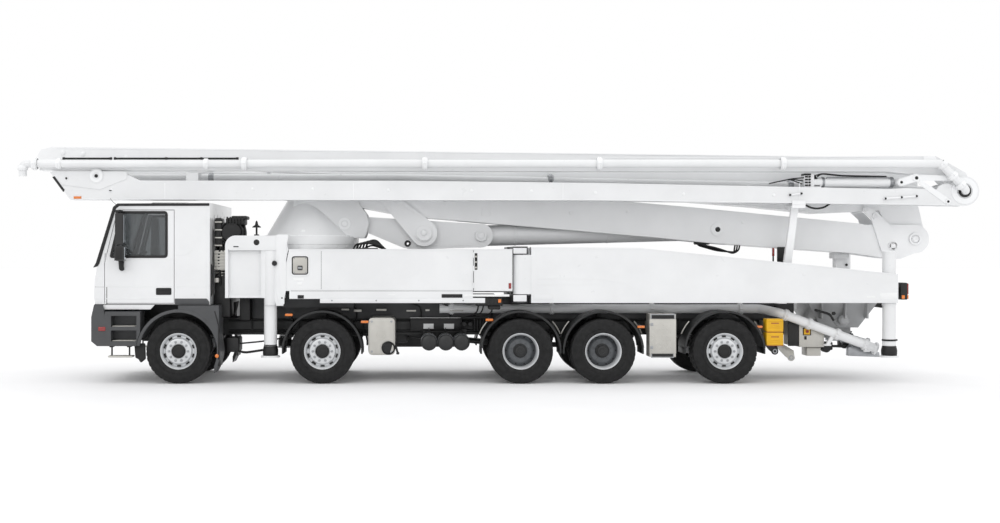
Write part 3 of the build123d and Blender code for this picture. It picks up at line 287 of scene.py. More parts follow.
class Shape:
    """Gathers solids of one finish into one mesh, in metres."""

    def __init__(self):
        self.bm = bmesh.new()

    def close(self, faces):
        bmesh.ops.recalc_face_normals(self.bm, faces=faces)
        return self

    def round_edges(self, faces, width):
        if width > 0:
            edges = {edge for face in faces for edge in face.edges}
            sharp = [e for e in edges if len(e.link_faces) == 2 and e.calc_face_angle() > 0.5]
            bmesh.ops.bevel(self.bm, geom=sharp, offset=width, segments=2, profile=0.5,
                            affect="EDGES", clamp_overlap=True)
        return self

    def skin(self, one, two):
        """Faces between two closed rows of points; a row of one point is a tip."""
        count = max(len(one), len(two))
        faces = []
        for k in range(count):
            j = (k + 1) % count
            if len(one) == 1:
                corners = (one[0], two[k], two[j])
            elif len(two) == 1:
                corners = (one[k], two[0], one[j])
            else:
                corners = (one[k], two[k], two[j], one[j])
            faces.append(self.bm.faces.new(corners))
        return faces

    def block(self, x, y, z, width=0.004, turn=None):
        """Box between (low, high) pairs with rounded edges, turned about its middle."""
        sizes = [max(abs(p[1] - p[0]), 1e-4) for p in (x, y, z)]
        middle = Vector([(p[0] + p[1]) / 2 for p in (x, y, z)])
        made = bmesh.ops.create_cube(self.bm, size=1.0)["verts"]
        for vert in made:
            vert.co = Vector([a * b for a, b in zip(vert.co, sizes)])
            if turn is not None:
                vert.co = turn @ vert.co
            vert.co += middle
        faces = {face for vert in made for face in vert.link_faces}
        return self.round_edges(faces, min(width, min(sizes) * 0.45))

    def prism(self, outline, y, width=0.003, across="y"):
        """Outline of (x, z) pairs pulled along y, or of (x, y) along z, or of (y, z) along x."""
        def point(a, b, c):
            return (a, c, b) if across == "y" else (a, b, c) if across == "z" else (c, a, b)
        low, high = ([self.bm.verts.new(point(a, b, depth)) for a, b in outline] for depth in y)
        faces = [self.bm.faces.new(low), self.bm.faces.new(list(reversed(high)))]
        faces += self.skin(low, high)
        return self.close(faces).round_edges(faces, width)

    def frame(self, outer, inner, y, width=0.0):
        """Flat ring between two outlines of equal length, pulled along y."""
        rows = []
        for outline, depth in ((outer, y[0]), (outer, y[1]), (inner, y[1]), (inner, y[0])):
            rows.append([self.bm.verts.new((a, depth, b)) for a, b in outline])
        faces = [face for r in range(4) for face in self.skin(rows[r], rows[(r + 1) % 4])]
        return self.close(faces).round_edges(faces, width)

    def lathe(self, centre, axis, profile, segments=32, wave=None):
        """Turned solid: profile is a list of (radius, distance along the axis)."""
        turn = towards(axis)
        rings = []
        for row, (radius, along) in enumerate(profile):
            points = [(0, 0)]
            if radius >= 1e-6:
                points = [polar(radius - (wave(row, k) if wave else 0.0), angle)
                          for k, angle in enumerate(around(segments))]
            rings.append([self.bm.verts.new(Vector(centre) + turn @ Vector((a, b, along)))
                          for a, b in points])
        return self.close([face for one, two in zip(rings, rings[1:])
                           if len(one) + len(two) > 2 for face in self.skin(one, two)])

    def drum(self, centre, axis, radius, length, edge=0.004, segments=28):
        """Round bar centred on a point, with broken edges."""
        e = min(edge, radius * 0.4, length * 0.4)
        half = length / 2
        return self.lathe(centre, axis, [(0, -half), (radius - e, -half), (radius, -half + e),
                                         (radius, half - e), (radius - e, half), (0, half)],
                          segments)

    def ring(self, centre, axis, inner, outer, length, edge=0.003, segments=32):
        """Ring centred on a point, its outer edges broken."""
        half = length / 2
        return self.lathe(centre, axis, [
            (inner, -half), (outer - edge, -half), (outer, -half + edge), (outer, half - edge),
            (outer - edge, half), (inner, half), (inner, -half)], segments)

    def boss(self, centre, axis, radius, shoulder, crown, height, segments=24):
        """Flat button that stands on a face and is sunk 2 mm into it."""
        return self.lathe(centre, axis, [(0, -0.002), (radius, -0.002), (radius, shoulder),
                                         (crown, height), (0, height)], segments)

    def bolt(self, centre, axis, radius=0.012, height=0.010):
        """Hexagon head standing on a face, its washer below it."""
        washer = height * 0.2
        self.lathe(centre, axis, [(0, 0), (radius * 1.35, 0), (radius * 1.35, washer),
                                  (0, washer)], 14)
        return self.lathe(centre, axis, [(0, washer), (radius, washer), (radius, height * 0.9),
                                         (radius * 0.85, height), (0, height)], 6)

    def tube(self, points, radius, bend=0.06, segments=12, ends=True):
        """Round pipe along straight runs with curved corners."""
        points = [Vector(p) for p in points]
        path = [points[0]]
        for before, corner, after in zip(points, points[1:], points[2:]):
            path += corner_arc(before, corner, after, bend, 0.45, 6)
        path.append(points[-1])
        tangent = (path[1] - path[0]).normalized()
        normal = tangent.orthogonal().normalized()
        rings = []
        for i, place in enumerate(path):
            ahead = path[min(i + 1, len(path) - 1)] - path[max(i - 1, 0)]
            new = ahead.normalized()
            normal = tangent.rotation_difference(new) @ normal
            tangent = new
            side = tangent.cross(normal)
            rings.append([self.bm.verts.new(place + radius * (
                normal * math.cos(a) + side * math.sin(a))) for a in around(segments)])
        faces = [face for one, two in zip(rings, rings[1:]) for face in self.skin(one, two)]
        if ends:
            faces += [self.bm.faces.new(rings[0]), self.bm.faces.new(rings[-1])]
        return self.close(faces)

    def piece(self, name, finish, body="truck", stands_for=()):
        """Turns what was gathered into an object that rides on a body."""
        mesh = bpy.data.meshes.new(name)
        self.bm.to_mesh(mesh)
        self.bm.free()
        for polygon in mesh.polygons:
            polygon.use_smooth = True
        mesh.set_sharp_from_angle(angle=math.radians(38))
        slot, material = FINISH[finish]
        mesh.materials.append(material)
        obj = bpy.data.objects.new(name, mesh)
        bpy.context.scene.collection.objects.link(obj)
        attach(obj, body)
        if stands_for:
            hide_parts(*stands_for)
        return obj


def corner_arc(before, corner, after, reach, most, steps):
    """Points of a rounded corner; the arc takes at most a share of either stretch."""
    back, ahead = before - corner, after - corner
    cut = min(reach, back.length * most, ahead.length * most)
    a, b = corner + back.normalized() * cut, corner + ahead.normalized() * cut
    places = [step / steps for step in range(steps + 1)]
    return [a * (1 - t) ** 2 + corner * 2 * t * (1 - t) + b * t * t for t in places]


def pair(sign, inner, outer):
    """Low and high y of a stretch given as distances from the middle, on the side of sign."""
    return tuple(sorted((sign * inner, sign * outer)))


def neighbours(points):
    """Each point of a closed outline between the one before it and the one after it."""
    count = len(points)
    for i in range(count):
        yield tuple(Vector(points[j % count]) for j in (i - 1, i, i + 1))


def grown(outline, by):
    """Outline moved outwards from its middle by a distance, corner by corner."""
    area = sum(a[0] * b[1] - b[0] * a[1] for a, b in zip(outline, outline[1:] + outline[:1]))
    sign = 1 if area > 0 else -1
    result = []
    for before, here, after in neighbours(outline):
        one, two = (here - before).normalized(), (after - here).normalized()
        n1, n2 = Vector((one.y, -one.x)) * sign, Vector((two.y, -two.x)) * sign
        mitre = (n1 + n2).normalized()
        result.append(tuple(here + mitre * (by / max(0.35, mitre.dot(n1)))))
    return result


def curved(points, corner, steps=5):
    """Closed outline with its corners rounded to a radius."""
    return [tuple(p) for around_here in neighbours(points)
            for p in corner_arc(*around_here, corner, 0.48, steps)]


def rounded(x, z, corner, steps=5):
    """Rectangle between (low, high) pairs with rounded corners."""
    return curved([(x[0], z[0]), (x[0], z[1]), (x[1], z[1]), (x[1], z[0])], corner, steps)


def band(x, z, inner, outer, start, turn, steps):
    """Outline of a strip between two radii about (x, z), from an angle in degrees."""
    angles = [math.radians(start + turn * k / steps) for k in range(steps + 1)]
    arc = [(x + outer * math.cos(a), z + outer * math.sin(a)) for a in angles]
    return arc + [(x + (a - x) * inner / outer, z + (b - z) * inner / outer)
                  for a, b in reversed(arc)]


# ---------------------------------------------------------------- wheels
HUB_Z = JOINT["wheel_1_left_spin"].z
TYRE_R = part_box("wheel_1_left")[1].z - HUB_Z
RIM_R = 0.305
TREAD_STEPS = 144
TREAD_DEPTH = 0.011
TWIN_HALF = 0.295 / 2
TWIN_GAP = 0.020


def tread_wave(grooves, blocks):
    """Depth of the tread: full in the grooves' rows, and at every fourth step between blocks."""
    def wave(row, k):
        cut = row in grooves or (row in blocks and (k + blocks[row]) % 4 == 0)
        return TREAD_DEPTH if cut else 0.0
    return wave


def tyre(shape, centre, half):
    """Tyre turned about its axle: rounded sidewalls, shoulder blocks and grooves."""
    r = TYRE_R
    side = [(RIM_R - 0.006, -half * 0.86), (RIM_R + 0.012, -half * 0.86 - 0.006),
            (RIM_R + 0.03, -half * 0.93), (RIM_R + 0.06, -half * 0.985),
            (RIM_R + 0.062, -half * 0.965), (RIM_R + 0.068, -half * 0.965),
            (RIM_R + 0.07, -half * 0.99), (RIM_R + 0.11, -half), (RIM_R + 0.15, -half * 0.985),
            (r - 0.055, -half * 0.95), (r - 0.053, -half * 0.93), (r - 0.035, -half * 0.93)]
    tread = [(r - sunk, -half * share) for sunk, share in (
        (0.012, 0.90), (0.004, 0.84), (0.001, 0.62), (0.001, 0.60), (0.001, 0.54),
        (0.001, 0.52), (0, 0.20), (0, 0.18), (0, 0.12), (0, 0.10))]
    left = side + tread
    profile = left + [(a, -b) for a, b in reversed(left)]
    first, last = len(side), len(profile) - 1
    grooves = {row for i in (4, 8) for row in (first + i, last - first - i)}
    blocks = {}
    for i in (-2, -1, 0, 1, 2):
        blocks[first + i], blocks[last - first - i] = 0, 2
    for i in (5, 6):
        blocks[first + i], blocks[last - first - i] = 1, 3
    shape.lathe(centre, "y", profile, TREAD_STEPS, tread_wave(grooves, blocks))


def outward(o, profile):
    """Profile whose distances count towards the outside of the truck."""
    return [(radius, o * along) for radius, along in profile]


def rim_barrel(shape, centre, o, half, share):
    """Rim flange and the well behind it."""
    lip = half * 0.86
    shape.lathe(centre, "y", outward(o, [
        (RIM_R - 0.008, lip - 0.02), (RIM_R, lip - 0.004), (RIM_R - 0.003, lip),
        (RIM_R - 0.012, lip + 0.001), (RIM_R - 0.024, lip - 0.012), (RIM_R - 0.030, lip - 0.024),
        (RIM_R - 0.041, lip - 0.040), (RIM_R - 0.043, -half * share)]), 56)


def on_wheel(centre, o, radius, angle, out):
    """Point at a radius and angle in the wheel's plane, out from its centre."""
    a, b = polar(radius, angle)
    return centre + Vector((a, o * out, b))


def wheel_nuts(name, finish, centre, o, radius, out, height, start):
    """Ten nuts on their washers."""
    nuts = Shape()
    for angle in around(10, start):
        nuts.lathe(on_wheel(centre, o, radius, angle, out), (0, o, 0), [
            (0, 0), (0.022, 0), (0.022, 0.003), (0.0165, 0.005), (0.0165, height - 0.004),
            (0.013, height), (0, height)], 12)
    nuts.piece(name + "_nuts", finish, name)


def single_wheel(name, x, o):
    """Steered wheel: dished disc with ten slots near the rim and ten nuts round the cap."""
    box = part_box(name)
    centre = Vector((x, (box[0].y + box[1].y) / 2, HUB_Z))
    half = (box[1].y - box[0].y) / 2
    rubber = Shape()
    tyre(rubber, centre, half)
    rubber.piece(name + "_tyre", "rubber", name, (name,))
    metal = Shape()
    rim_barrel(metal, centre, o, half, 0.8)
    face = half * 0.86 - 0.035
    metal.lathe(centre, "y", outward(o, [
        (0.118, face + 0.012), (0.125, face + 0.020), (0.188, face + 0.020),
        (0.206, face + 0.014), (0.214, face - 0.006), (0.228, face - 0.030),
        (0.262, face - 0.040), (0.262, face - 0.052), (0.10, face - 0.040),
        (0.10, face + 0.012), (0.118, face + 0.012)]), 56)
    metal.piece(name + "_rim", "silver", name)
    dark = Shape()
    for angle in around(10, math.pi / 10):
        hole = on_wheel(centre, o, 0.243, angle, face - 0.033)
        dark.block(near(hole.x, 0.014), near(hole.y, 0.005),
                   near(hole.z, 0.034), 0.006, Matrix.Rotation(-angle, 3, "Y"))
    cap = centre + Vector((0, o * (face + 0.010), 0))
    dark.lathe(cap, (0, o, 0), [
        (0, -0.05), (0.112, -0.05), (0.114, 0.012), (0.108, 0.020), (0.092, 0.028),
        (0.088, 0.036), (0.060, 0.041), (0.056, 0.036), (0, 0.038)], 40)
    for angle in around(6):
        dark.bolt(on_wheel(cap, o, 0.073, angle, 0.037), (0, o, 0), 0.007, 0.006)
    dark.piece(name + "_hub", "black", name)
    wheel_nuts(name, "steel", centre, o, 0.157, face + 0.019, 0.024, math.tau / 10)


def twin_wheel(name, x, o):
    """Driven wheel: two tyres, deep bright rim and a dark disc with nuts and reduction hub."""
    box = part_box(name)
    centre = Vector((x, (box[0].y + box[1].y) / 2, HUB_Z))
    apart = Vector((0, TWIN_HALF + TWIN_GAP, 0))
    outer, inner = centre + apart * o, centre - apart * o
    rubber = Shape()
    for middle in (centre - apart, centre + apart):
        tyre(rubber, middle, TWIN_HALF)
    rubber.piece(name + "_tyre", "rubber", name, (name,))
    bright = Shape()
    rim_barrel(bright, outer, o, TWIN_HALF, 0.9)
    bright.piece(name + "_rim", "silver", name)
    grey = Shape()
    face = 0.125
    grey.lathe(centre, "y", outward(o, [
        (0.10, face + 0.012), (0.190, face + 0.012), (0.202, face + 0.004),
        (0.216, face - 0.022), (0.262, face - 0.060), (0.262, face - 0.07),
        (0.10, face - 0.03), (0.10, face + 0.012)]), 56)
    rim_barrel(grey, inner, -o, TWIN_HALF, 0.9)
    grey.lathe(inner, "y", outward(o, [(0.06, 0), (0.246, 0), (0.246, 0.012), (0.06, 0.012),
                                       (0.06, 0)]), 40)
    grey.piece(name + "_disc", "rimgrey", name)
    dark = Shape()
    for angle in around(10):
        dark.drum(on_wheel(centre, o, 0.226, angle, face - 0.032), "y", 0.016, 0.012, 0.003, 14)
    cap = centre + Vector((0, o * face, 0))
    dark.lathe(cap, (0, o, 0), [
        (0, -0.04), (0.118, -0.04), (0.118, 0.035), (0.112, 0.045), (0.095, 0.05),
        (0.092, 0.075), (0.085, 0.083), (0.045, 0.086), (0.042, 0.096), (0, 0.096)], 40)
    for angle in around(8):
        dark.bolt(on_wheel(cap, o, 0.104, angle, 0.046), (0, o, 0), 0.007, 0.008)
    dark.piece(name + "_hub", "rail", name)
    wheel_nuts(name, "rimgrey", centre, o, 0.160, face + 0.011, 0.026, math.pi / 10)


for side, o in SIDES.items():
    for axle in (1, 2, 5, 3, 4):
        build = twin_wheel if axle in (3, 4) else single_wheel
        build(f"wheel_{axle}_{side}", JOINT[f"wheel_{axle}_{side}_spin"].x, o)


# ---------------------------------------------------------------- cab
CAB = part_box("cab_shell")
WALL_Y = CAB[1].y
FRONT = CAB[0].x + 0.023
REAR = CAB[1].x
ROOF = CAB[1].z
HINGE, LATCH = (end.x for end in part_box("cab_door_left"))
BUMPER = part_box("front_bumper")
SILL = 1.300
WAIST = 1.989
CREASES = (1.600, 1.400)


def cab_side(side, o):
    """Trim on one flank of the cab: pillar, roof seal, creases, window rubber and handle."""
    door = "door_" + side

    def skin(out, inward=0.01):
        """Stretch of y from a little inside the cab's wall to a little outside it."""
        return pair(o, WALL_Y - inward, WALL_Y + out)

    black = Shape()
    foot, head = (FRONT + 0.040, WAIST - 0.02), (FRONT + 0.307, 2.935)
    black.prism([(foot[0] - 0.075, foot[1] - 0.055), (foot[0] - 0.03, foot[1] + 0.02),
                 (head[0] - 0.012, head[1] - 0.02), (head[0] + 0.06, ROOF - 0.012),
                 (REAR - 0.012, ROOF - 0.008), (REAR - 0.002, ROOF - 0.03),
                 (REAR - 0.012, ROOF - 0.052), (head[0] + 0.09, ROOF - 0.055),
                 (head[0] + 0.035, head[1] - 0.05), (foot[0] + 0.03, foot[1] + 0.01),
                 (foot[0] + 0.005, foot[1] - 0.03)], skin(0.010, 0.06), 0.005)
    black.piece("cab_pillar_trim_" + side, "black")

    window = curved([(HINGE + 0.096, 2.103), (HINGE + 0.270, 2.831),
                     (LATCH - 0.116, 2.831), (LATCH - 0.116, 2.088),
                     (HINGE + 0.110, 2.088)], 0.05)
    rubber = Shape()
    rubber.frame(grown(window, 0.016), grown(window, -0.026), skin(0.006, 0.02), 0.003)
    rubber.piece("window_rubber_" + side, "black", door)

    line = Shape()
    for z in CREASES:
        line.block((HINGE + 0.012, LATCH - 0.012), skin(0.0035), near(z, 0.006), 0.003)
    line.prism([(HINGE + 0.30, 2.040), (LATCH - 0.02, 2.052), (LATCH - 0.02, 2.042),
                (HINGE + 0.30, 2.030)], skin(0.003), 0.002)
    line.piece("door_creases_" + side, "white", door)
    line = Shape()
    for z in CREASES:
        line.block((LATCH + 0.018, REAR - 0.012), skin(0.0035), near(z, 0.006), 0.003)
        line.block((FRONT + 0.01, HINGE - 0.016), skin(0.0035), near(z, 0.006), 0.003)
    line.prism([(LATCH + 0.03, 2.118), (LATCH + 0.19, 2.118), (LATCH + 0.30, 2.205),
                (LATCH + 0.36, 2.205), (LATCH + 0.36, 2.217), (LATCH + 0.295, 2.217),
                (LATCH + 0.185, 2.131), (LATCH + 0.03, 2.131)], skin(0.004), 0.002)
    line.block((REAR - 0.055, REAR - 0.047), skin(0.003), (1.32, ROOF - 0.07), 0.002)
    line.piece("cab_creases_" + side, "white")
    gap = Shape()
    gap.block((FRONT + 0.186, FRONT + 0.196), skin(0.002), (SILL + 0.010, 1.598), 0.001)
    gap.block((FRONT, HINGE - 0.012), skin(0.002), (1.592, 1.598), 0.001)
    gap.block((FRONT - 0.01, REAR - 0.01), skin(0.002), (SILL, SILL + 0.010), 0.001)
    gap.piece("cab_gap_lines_" + side, "black")
    Shape().prism([(-6.645, 1.308), (-5.70, 1.308), (-5.78, 1.222), (-6.62, 1.222)],
                  skin(-0.002, 0.03), 0.006).piece("cab_skirt_" + side, "white")
    arch = Shape()
    arch.prism(curved([(LATCH + 0.016, 1.296), (LATCH + 0.016, 1.404), (REAR - 0.05, 1.404),
                       (REAR - 0.008, 1.350), (REAR - 0.008, 1.296)], 0.012, 3), skin(0.007), 0.004)
    arch.piece("arch_top_" + side, "cabgrey")

    handle = Shape()
    x0, x1 = LATCH - 0.295, LATCH - 0.040
    outer = rounded((x0, x1), (1.462, 1.578), 0.022)
    handle.frame(outer, grown(outer, -0.012), skin(0.006, 0.006), 0.002)
    handle.prism(grown(outer, -0.011), skin(0.002, 0.004), 0.001)
    handle.block((x0 + 0.022, x1 - 0.05), skin(0.016, -0.001), (1.534, 1.558), 0.006)
    handle.drum((x1 - 0.030, o * WALL_Y, 1.515), "y", 0.010, 0.016)
    handle.piece("door_handle_" + side, "black", door)


def mirrors(side, o):
    """Tall main mirror, wide-angle mirror below it, kerb mirror and their arms, in black."""
    door = "door_" + side
    y_in, y_out = WALL_Y + 0.106, WALL_Y + 0.265
    shell = Shape()
    for x, z, fat in (((-6.306, -6.164), (2.284, 2.806), 0.03),
                      ((-6.316, -6.154), (2.024, 2.276), 0.035)):
        shell.block(x, pair(o, y_in - 0.002, y_out - 0.001), z, fat)
    shell.block((-6.318, -6.222), pair(o, WALL_Y + 0.004, WALL_Y + 0.20), (2.804, 2.862), 0.018)
    shell.block((-6.300, -6.252), pair(o, WALL_Y + 0.002, WALL_Y + 0.16), (2.040, 2.078), 0.012)
    shell.tube([(-6.276, o * (WALL_Y + 0.20), 2.03), (-6.276, o * (WALL_Y + 0.20), 2.825)], 0.019)
    shell.prism(curved([(-6.300, 2.060), (-6.205, 2.060), (-6.215, 1.930), (-6.200, 1.880),
                        (-6.235, 1.855), (-6.285, 1.875), (-6.290, 1.95)], 0.03, 3),
                pair(o, WALL_Y + 0.004, WALL_Y + 0.055), 0.01)
    shell.block((-6.30, -6.26), pair(o, WALL_Y + 0.002, WALL_Y + 0.03), (2.77, 2.85), 0.008)
    shell.piece("mirror_shells_" + side, "black", door)
    face = Shape()
    for x, z in ((-6.159, (2.31, 2.78)), (-6.149, (2.045, 2.255))):
        rim = rounded(pair(o, y_in + 0.018, y_out - 0.016), z, 0.03, 4)
        face.prism(rim, (x - 0.006, x + 0.002), 0.001, across="x")
    face.piece("mirror_faces_" + side, "mirror", door)


for side, o in SIDES.items():
    cab_side(side, o)
    mirrors(side, o)


def nose_x(z):
    """Front of the cab at a height, from the shell's side outline."""
    rows = [(SILL, 0.0), (1.400, -0.023), (1.720, -0.010), (WAIST, 0.040), (2.930, 0.307)]
    for (z0, x0), (z1, x1) in zip(rows, rows[1:]):
        if z <= z1:
            return FRONT + x0 + (x1 - x0) * (z - z0) / (z1 - z0)
    return FRONT + rows[-1][1]


def cab_nose():
    """Windscreen frame, wipers, grille and bonnet strip."""
    black = Shape()
    low, high = 2.02, 2.875
    for z0, z1 in ((low - 0.06, low + 0.02), (high - 0.02, high + 0.045)):
        black.prism([(nose_x(z0) - 0.004, z0), (nose_x(z1) - 0.004, z1),
                     (nose_x(z1) + 0.03, z1), (nose_x(z0) + 0.03, z0)], (-1.12, 1.12), 0.006)
    for o in SIDES.values():
        black.prism([(nose_x(low) - 0.004, low), (nose_x(high) - 0.004, high),
                     (nose_x(high) + 0.03, high), (nose_x(low) + 0.03, low)],
                    pair(o, 1.03, 1.12), 0.006)
    for y in (-0.62, 0.0, 0.62):
        black.drum((nose_x(2.0) - 0.02, y, 1.985), "x", 0.022, 0.04)
        black.tube([(nose_x(2.0) - 0.026, y, 1.99), (nose_x(2.10) - 0.022, y + 0.12, 2.10),
                    (nose_x(2.30) - 0.018, y + 0.30, 2.22)], 0.007, 0.02, 8)
        black.tube([(nose_x(2.06) - 0.012, y + 0.04, 2.07), (nose_x(2.52) - 0.012, y + 0.44, 2.46)],
                   0.008, 0.02, 6)
    black.piece("windscreen_trim", "black")
    grille = Shape()
    for k in range(5):
        z = 1.42 + 0.085 * k
        grille.prism([(nose_x(z) - 0.002, z), (nose_x(z) - 0.020, z + 0.012),
                      (nose_x(z + 0.05) - 0.022, z + 0.048), (nose_x(z + 0.05) - 0.002, z + 0.062)],
                     (-0.80 + 0.012 * k, 0.80 - 0.012 * k), 0.004)
    for y in (-0.82, 0.82):
        grille.prism([(nose_x(1.40) - 0.002, 1.40), (nose_x(1.40) - 0.02, 1.41),
                      (nose_x(1.82) - 0.02, 1.82), (nose_x(1.84) - 0.002, 1.84)],
                     near(y, 0.02), 0.004)
    grille.piece("grille", "black")
    panel = Shape()
    panel.prism([(nose_x(1.86) - 0.001, 1.86), (nose_x(1.87) - 0.014, 1.87),
                 (nose_x(1.95) - 0.012, 1.95), (nose_x(1.96) - 0.001, 1.96)], (-0.95, 0.95), 0.004)
    panel.piece("bonnet_strip", "white")


def bumper_front():
    """Lamps, bare plate, slots and step of the front bumper."""
    nose = BUMPER[0].x
    for side, o in SIDES.items():
        bezel = Shape()
        outer = curved([(o * 0.70, 0.845), (o * 0.70, 1.055), (o * 1.17, 1.065),
                        (o * 1.19, 0.865)], 0.035)
        bezel.prism(outer, (nose - 0.008, nose + 0.02), 0.003, across="x")
        bezel.piece("headlamp_bezel_" + side, "black")
        lamp = Shape()
        for y in (0.80, 1.00):
            lamp.lathe((nose - 0.008, o * y, 0.955), (-1, 0, 0), [
                (0, -0.004), (0.078, -0.004), (0.082, 0.002), (0.076, 0.010), (0.05, 0.014),
                (0, 0.016)], 28)
        lamp.piece("headlamps_" + side, "clear")
        turn = Shape()
        turn.block((nose - 0.016, nose + 0.004), pair(o, 1.09, 1.16), (0.90, 1.02), 0.012)
        turn.piece("indicator_" + side, "amber")
        fog = Shape()
        fog.lathe((nose - 0.001, o * 0.92, 0.775), (-1, 0, 0), [
            (0, -0.002), (0.05, -0.002), (0.052, 0.004), (0.03, 0.010), (0, 0.011)], 22)
        fog.piece("fog_lamp_" + side, "clear")
        Shape().block((-6.628, -6.508), pair(o, BUMPER[1].y - 0.012, BUMPER[1].y + 0.012),
                      (0.868, 0.940), 0.012).piece("bumper_side_lamp_" + side, "red")
    plate = Shape()
    plate.block((nose - 0.012, nose + 0.002), (-0.26, 0.26), (0.80, 0.91), 0.006)
    plate.piece("front_plate_blank", "label")
    slot = Shape()
    for z in (0.965, 1.005, 1.045):
        slot.block((nose - 0.006, nose + 0.004), (-0.62, 0.62), (z, z + 0.018), 0.004)
    slot.block(near(nose, 0.004), (-0.45, 0.45), (0.715, 0.775), 0.006)
    slot.piece("bumper_slots", "black")
    step = Shape()
    step.block((nose - 0.002, nose + 0.08), (-0.5, 0.5), (1.098, 1.106), 0.002)
    step.piece("bumper_step", "galv")


def cab_low():
    """Step treads, the silver bar under the steps, fender lips, flaps and lamps."""
    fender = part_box("cab_fenders")
    hub = JOINT["wheel_1_left_spin"]
    for side, o in SIDES.items():
        tread = Shape()
        for z in (0.702, 0.942):
            for k in range(7):
                y0 = 1.03 + k * 0.028
                tread.block((-6.40, -6.02), pair(o, y0, y0 + 0.012), (z, z + 0.012), 0.003)
        tread.piece("step_treads_" + side, "galv")
        bar = Shape()
        bar.prism([(-6.475, 0.452), (-6.46, 0.432), (-6.08, 0.432), (-6.065, 0.452),
                   (-6.075, 0.462), (-6.465, 0.462)], pair(o, 1.05, 1.225), 0.004)
        bar.piece("low_step_" + side, "galv")
        hang = Shape()
        for x in (-6.42, -6.13):
            hang.tube([(x, o * 1.15, 0.64), (x, o * 1.15, 0.455)], 0.014)
            hang.block(near(x, 0.03), pair(o, 1.08, 1.22), (0.60, 0.66), 0.008)
        hang.prism(curved([(-6.06, 0.66), (-5.88, 0.66), (-5.87, 0.40), (-5.95, 0.335),
                           (-5.99, 0.40), (-6.04, 0.42)], 0.02, 3), pair(o, 1.09, 1.13), 0.004)
        for z in (0.915, 0.675):
            hang.block((-6.44, -6.0), pair(o, BUMPER[1].y - 0.03, BUMPER[1].y - 0.006),
                       (z - 0.012, z + 0.008), 0.005)
        hang.piece("step_hangers_" + side, "black")
        lip = Shape()
        lip.prism(band(hub.x, hub.z, 0.640, 0.690, 46, 126, 32),
                  pair(o, fender[1].y - 0.004, fender[1].y + 0.005), 0.002)
        lip.piece("fender_lip_" + side, "cabgrey")
        flap = Shape()
        flap.block((-4.648, -4.636), pair(o, 0.86, 1.235), (0.29, 0.46), 0.004)
        flap.prism([(-4.655, 0.40), (-4.655, 0.95), (-4.72, 1.2), (-4.70, 1.2), (-4.628, 0.95),
                    (-4.628, 0.40)], pair(o, 1.232, 1.243), 0.003)
        flap.piece("mud_flap_" + side, "black")
        lamp = Shape()
        lamp.lathe((-4.672, o * 1.239, 0.46), (0, o, 0), [
            (0, 0), (0.030, 0), (0.031, 0.006), (0.022, 0.011), (0, 0.011)], 24)
        lamp.piece("fender_lamp_" + side, "amber")


def cab_roof():
    """Roof hatch, aerials, grab rails, roof beads and the ribs of the rear wall."""
    Shape().prism(rounded((-5.95, -5.30), (-0.36, 0.36), 0.08), (ROOF - 0.02, ROOF + 0.035), 0.012,
                  across="z").piece("roof_hatch", "cabgrey")
    thin = Shape()
    for o in SIDES.values():
        thin.tube([(-6.36, o * 1.05, ROOF - 0.04), (-6.43, o * 1.06, ROOF + 0.02),
                   (-6.47, o * 1.07, ROOF + 0.075)], 0.004, 0.02, 6)
        thin.tube([(-4.835, o * 1.06, 1.40), (-4.785, o * 1.06, 1.46), (-4.785, o * 1.06, 1.95),
                   (-4.835, o * 1.06, 2.0)], 0.012)
    thin.piece("aerials_and_rails", "black")
    seam = Shape()
    for y in (-0.55, 0.55):
        seam.block((-6.30, -4.86), near(y, 0.012), (ROOF - 0.006, ROOF + 0.006), 0.004)
    seam.piece("roof_beads", "white")
    back = Shape()
    for y in (-0.7, -0.35, 0.0, 0.35, 0.7):
        back.block((REAR - 0.004, REAR + 0.008), near(y, 0.04), (1.45, 2.80), 0.006)
    back.piece("cab_back_ribs", "white")


def cab_inside():
    """Steering wheel rim, seat cushions, head rests and a dashboard hood behind the glass."""
    seat = Shape()
    for y in (-0.62, 0.62):
        seat.block((-5.78, -5.22), near(y, 0.27), (1.76, 1.90), 0.05)
        seat.block((-5.37, -5.20), near(y, 0.26), (1.84, 2.44), 0.06)
        seat.block((-5.35, -5.22), near(y, 0.15), (2.47, 2.68), 0.05)
        for a in (-0.06, 0.06):
            seat.tube([(-5.29, y + a, 2.40), (-5.29, y + a, 2.50)], 0.01, 0.02, 8)
    seat.piece("crew_seats", "seat")
    wheel = Shape()
    axis = Vector((0.574, 0, 0.819))
    centre = Vector((-6.15, -0.62, 2.075))
    turn = towards(axis)
    rim = [centre + turn @ Vector((*polar(0.225, a), 0.012)) for a in around(28) + [math.tau]]
    wheel.tube(rim, 0.017, 0.02, 10, ends=False)
    wheel.drum(centre, axis, 0.07, 0.05, 0.015)
    for a in around(3, 0.5):
        wheel.tube([centre, centre + turn @ Vector((*polar(0.22, a), 0.01))], 0.014, 0.02, 8)
    wheel.piece("steering_wheel", "black")
    dash = Shape()
    dash.prism([(-6.59, 1.99), (-6.52, 2.05), (-6.38, 2.075), (-6.32, 2.02), (-6.33, 1.95),
                (-6.45, 1.94)], (-1.07, 1.07), 0.02)
    dash.block((-6.42, -6.33), (-0.86, -0.38), (2.05, 2.13), 0.025)
    dash.piece("dashboard_hood", "black")
    for side, o in SIDES.items():
        card = Shape()
        card.block((-6.30, -5.45), pair(o, 1.105, 1.133), (1.42, 2.03), 0.012)
        card.block((-6.05, -5.65), pair(o, 1.075, 1.11), (1.84, 1.89), 0.015)
        card.piece("door_card_" + side, "trim", "door_" + side)


cab_nose()
bumper_front()
cab_low()
cab_roof()
cab_inside()


# ---------------------------------------------------------------- deck, arms and jacks
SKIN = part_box("deck_boxes")[1].y


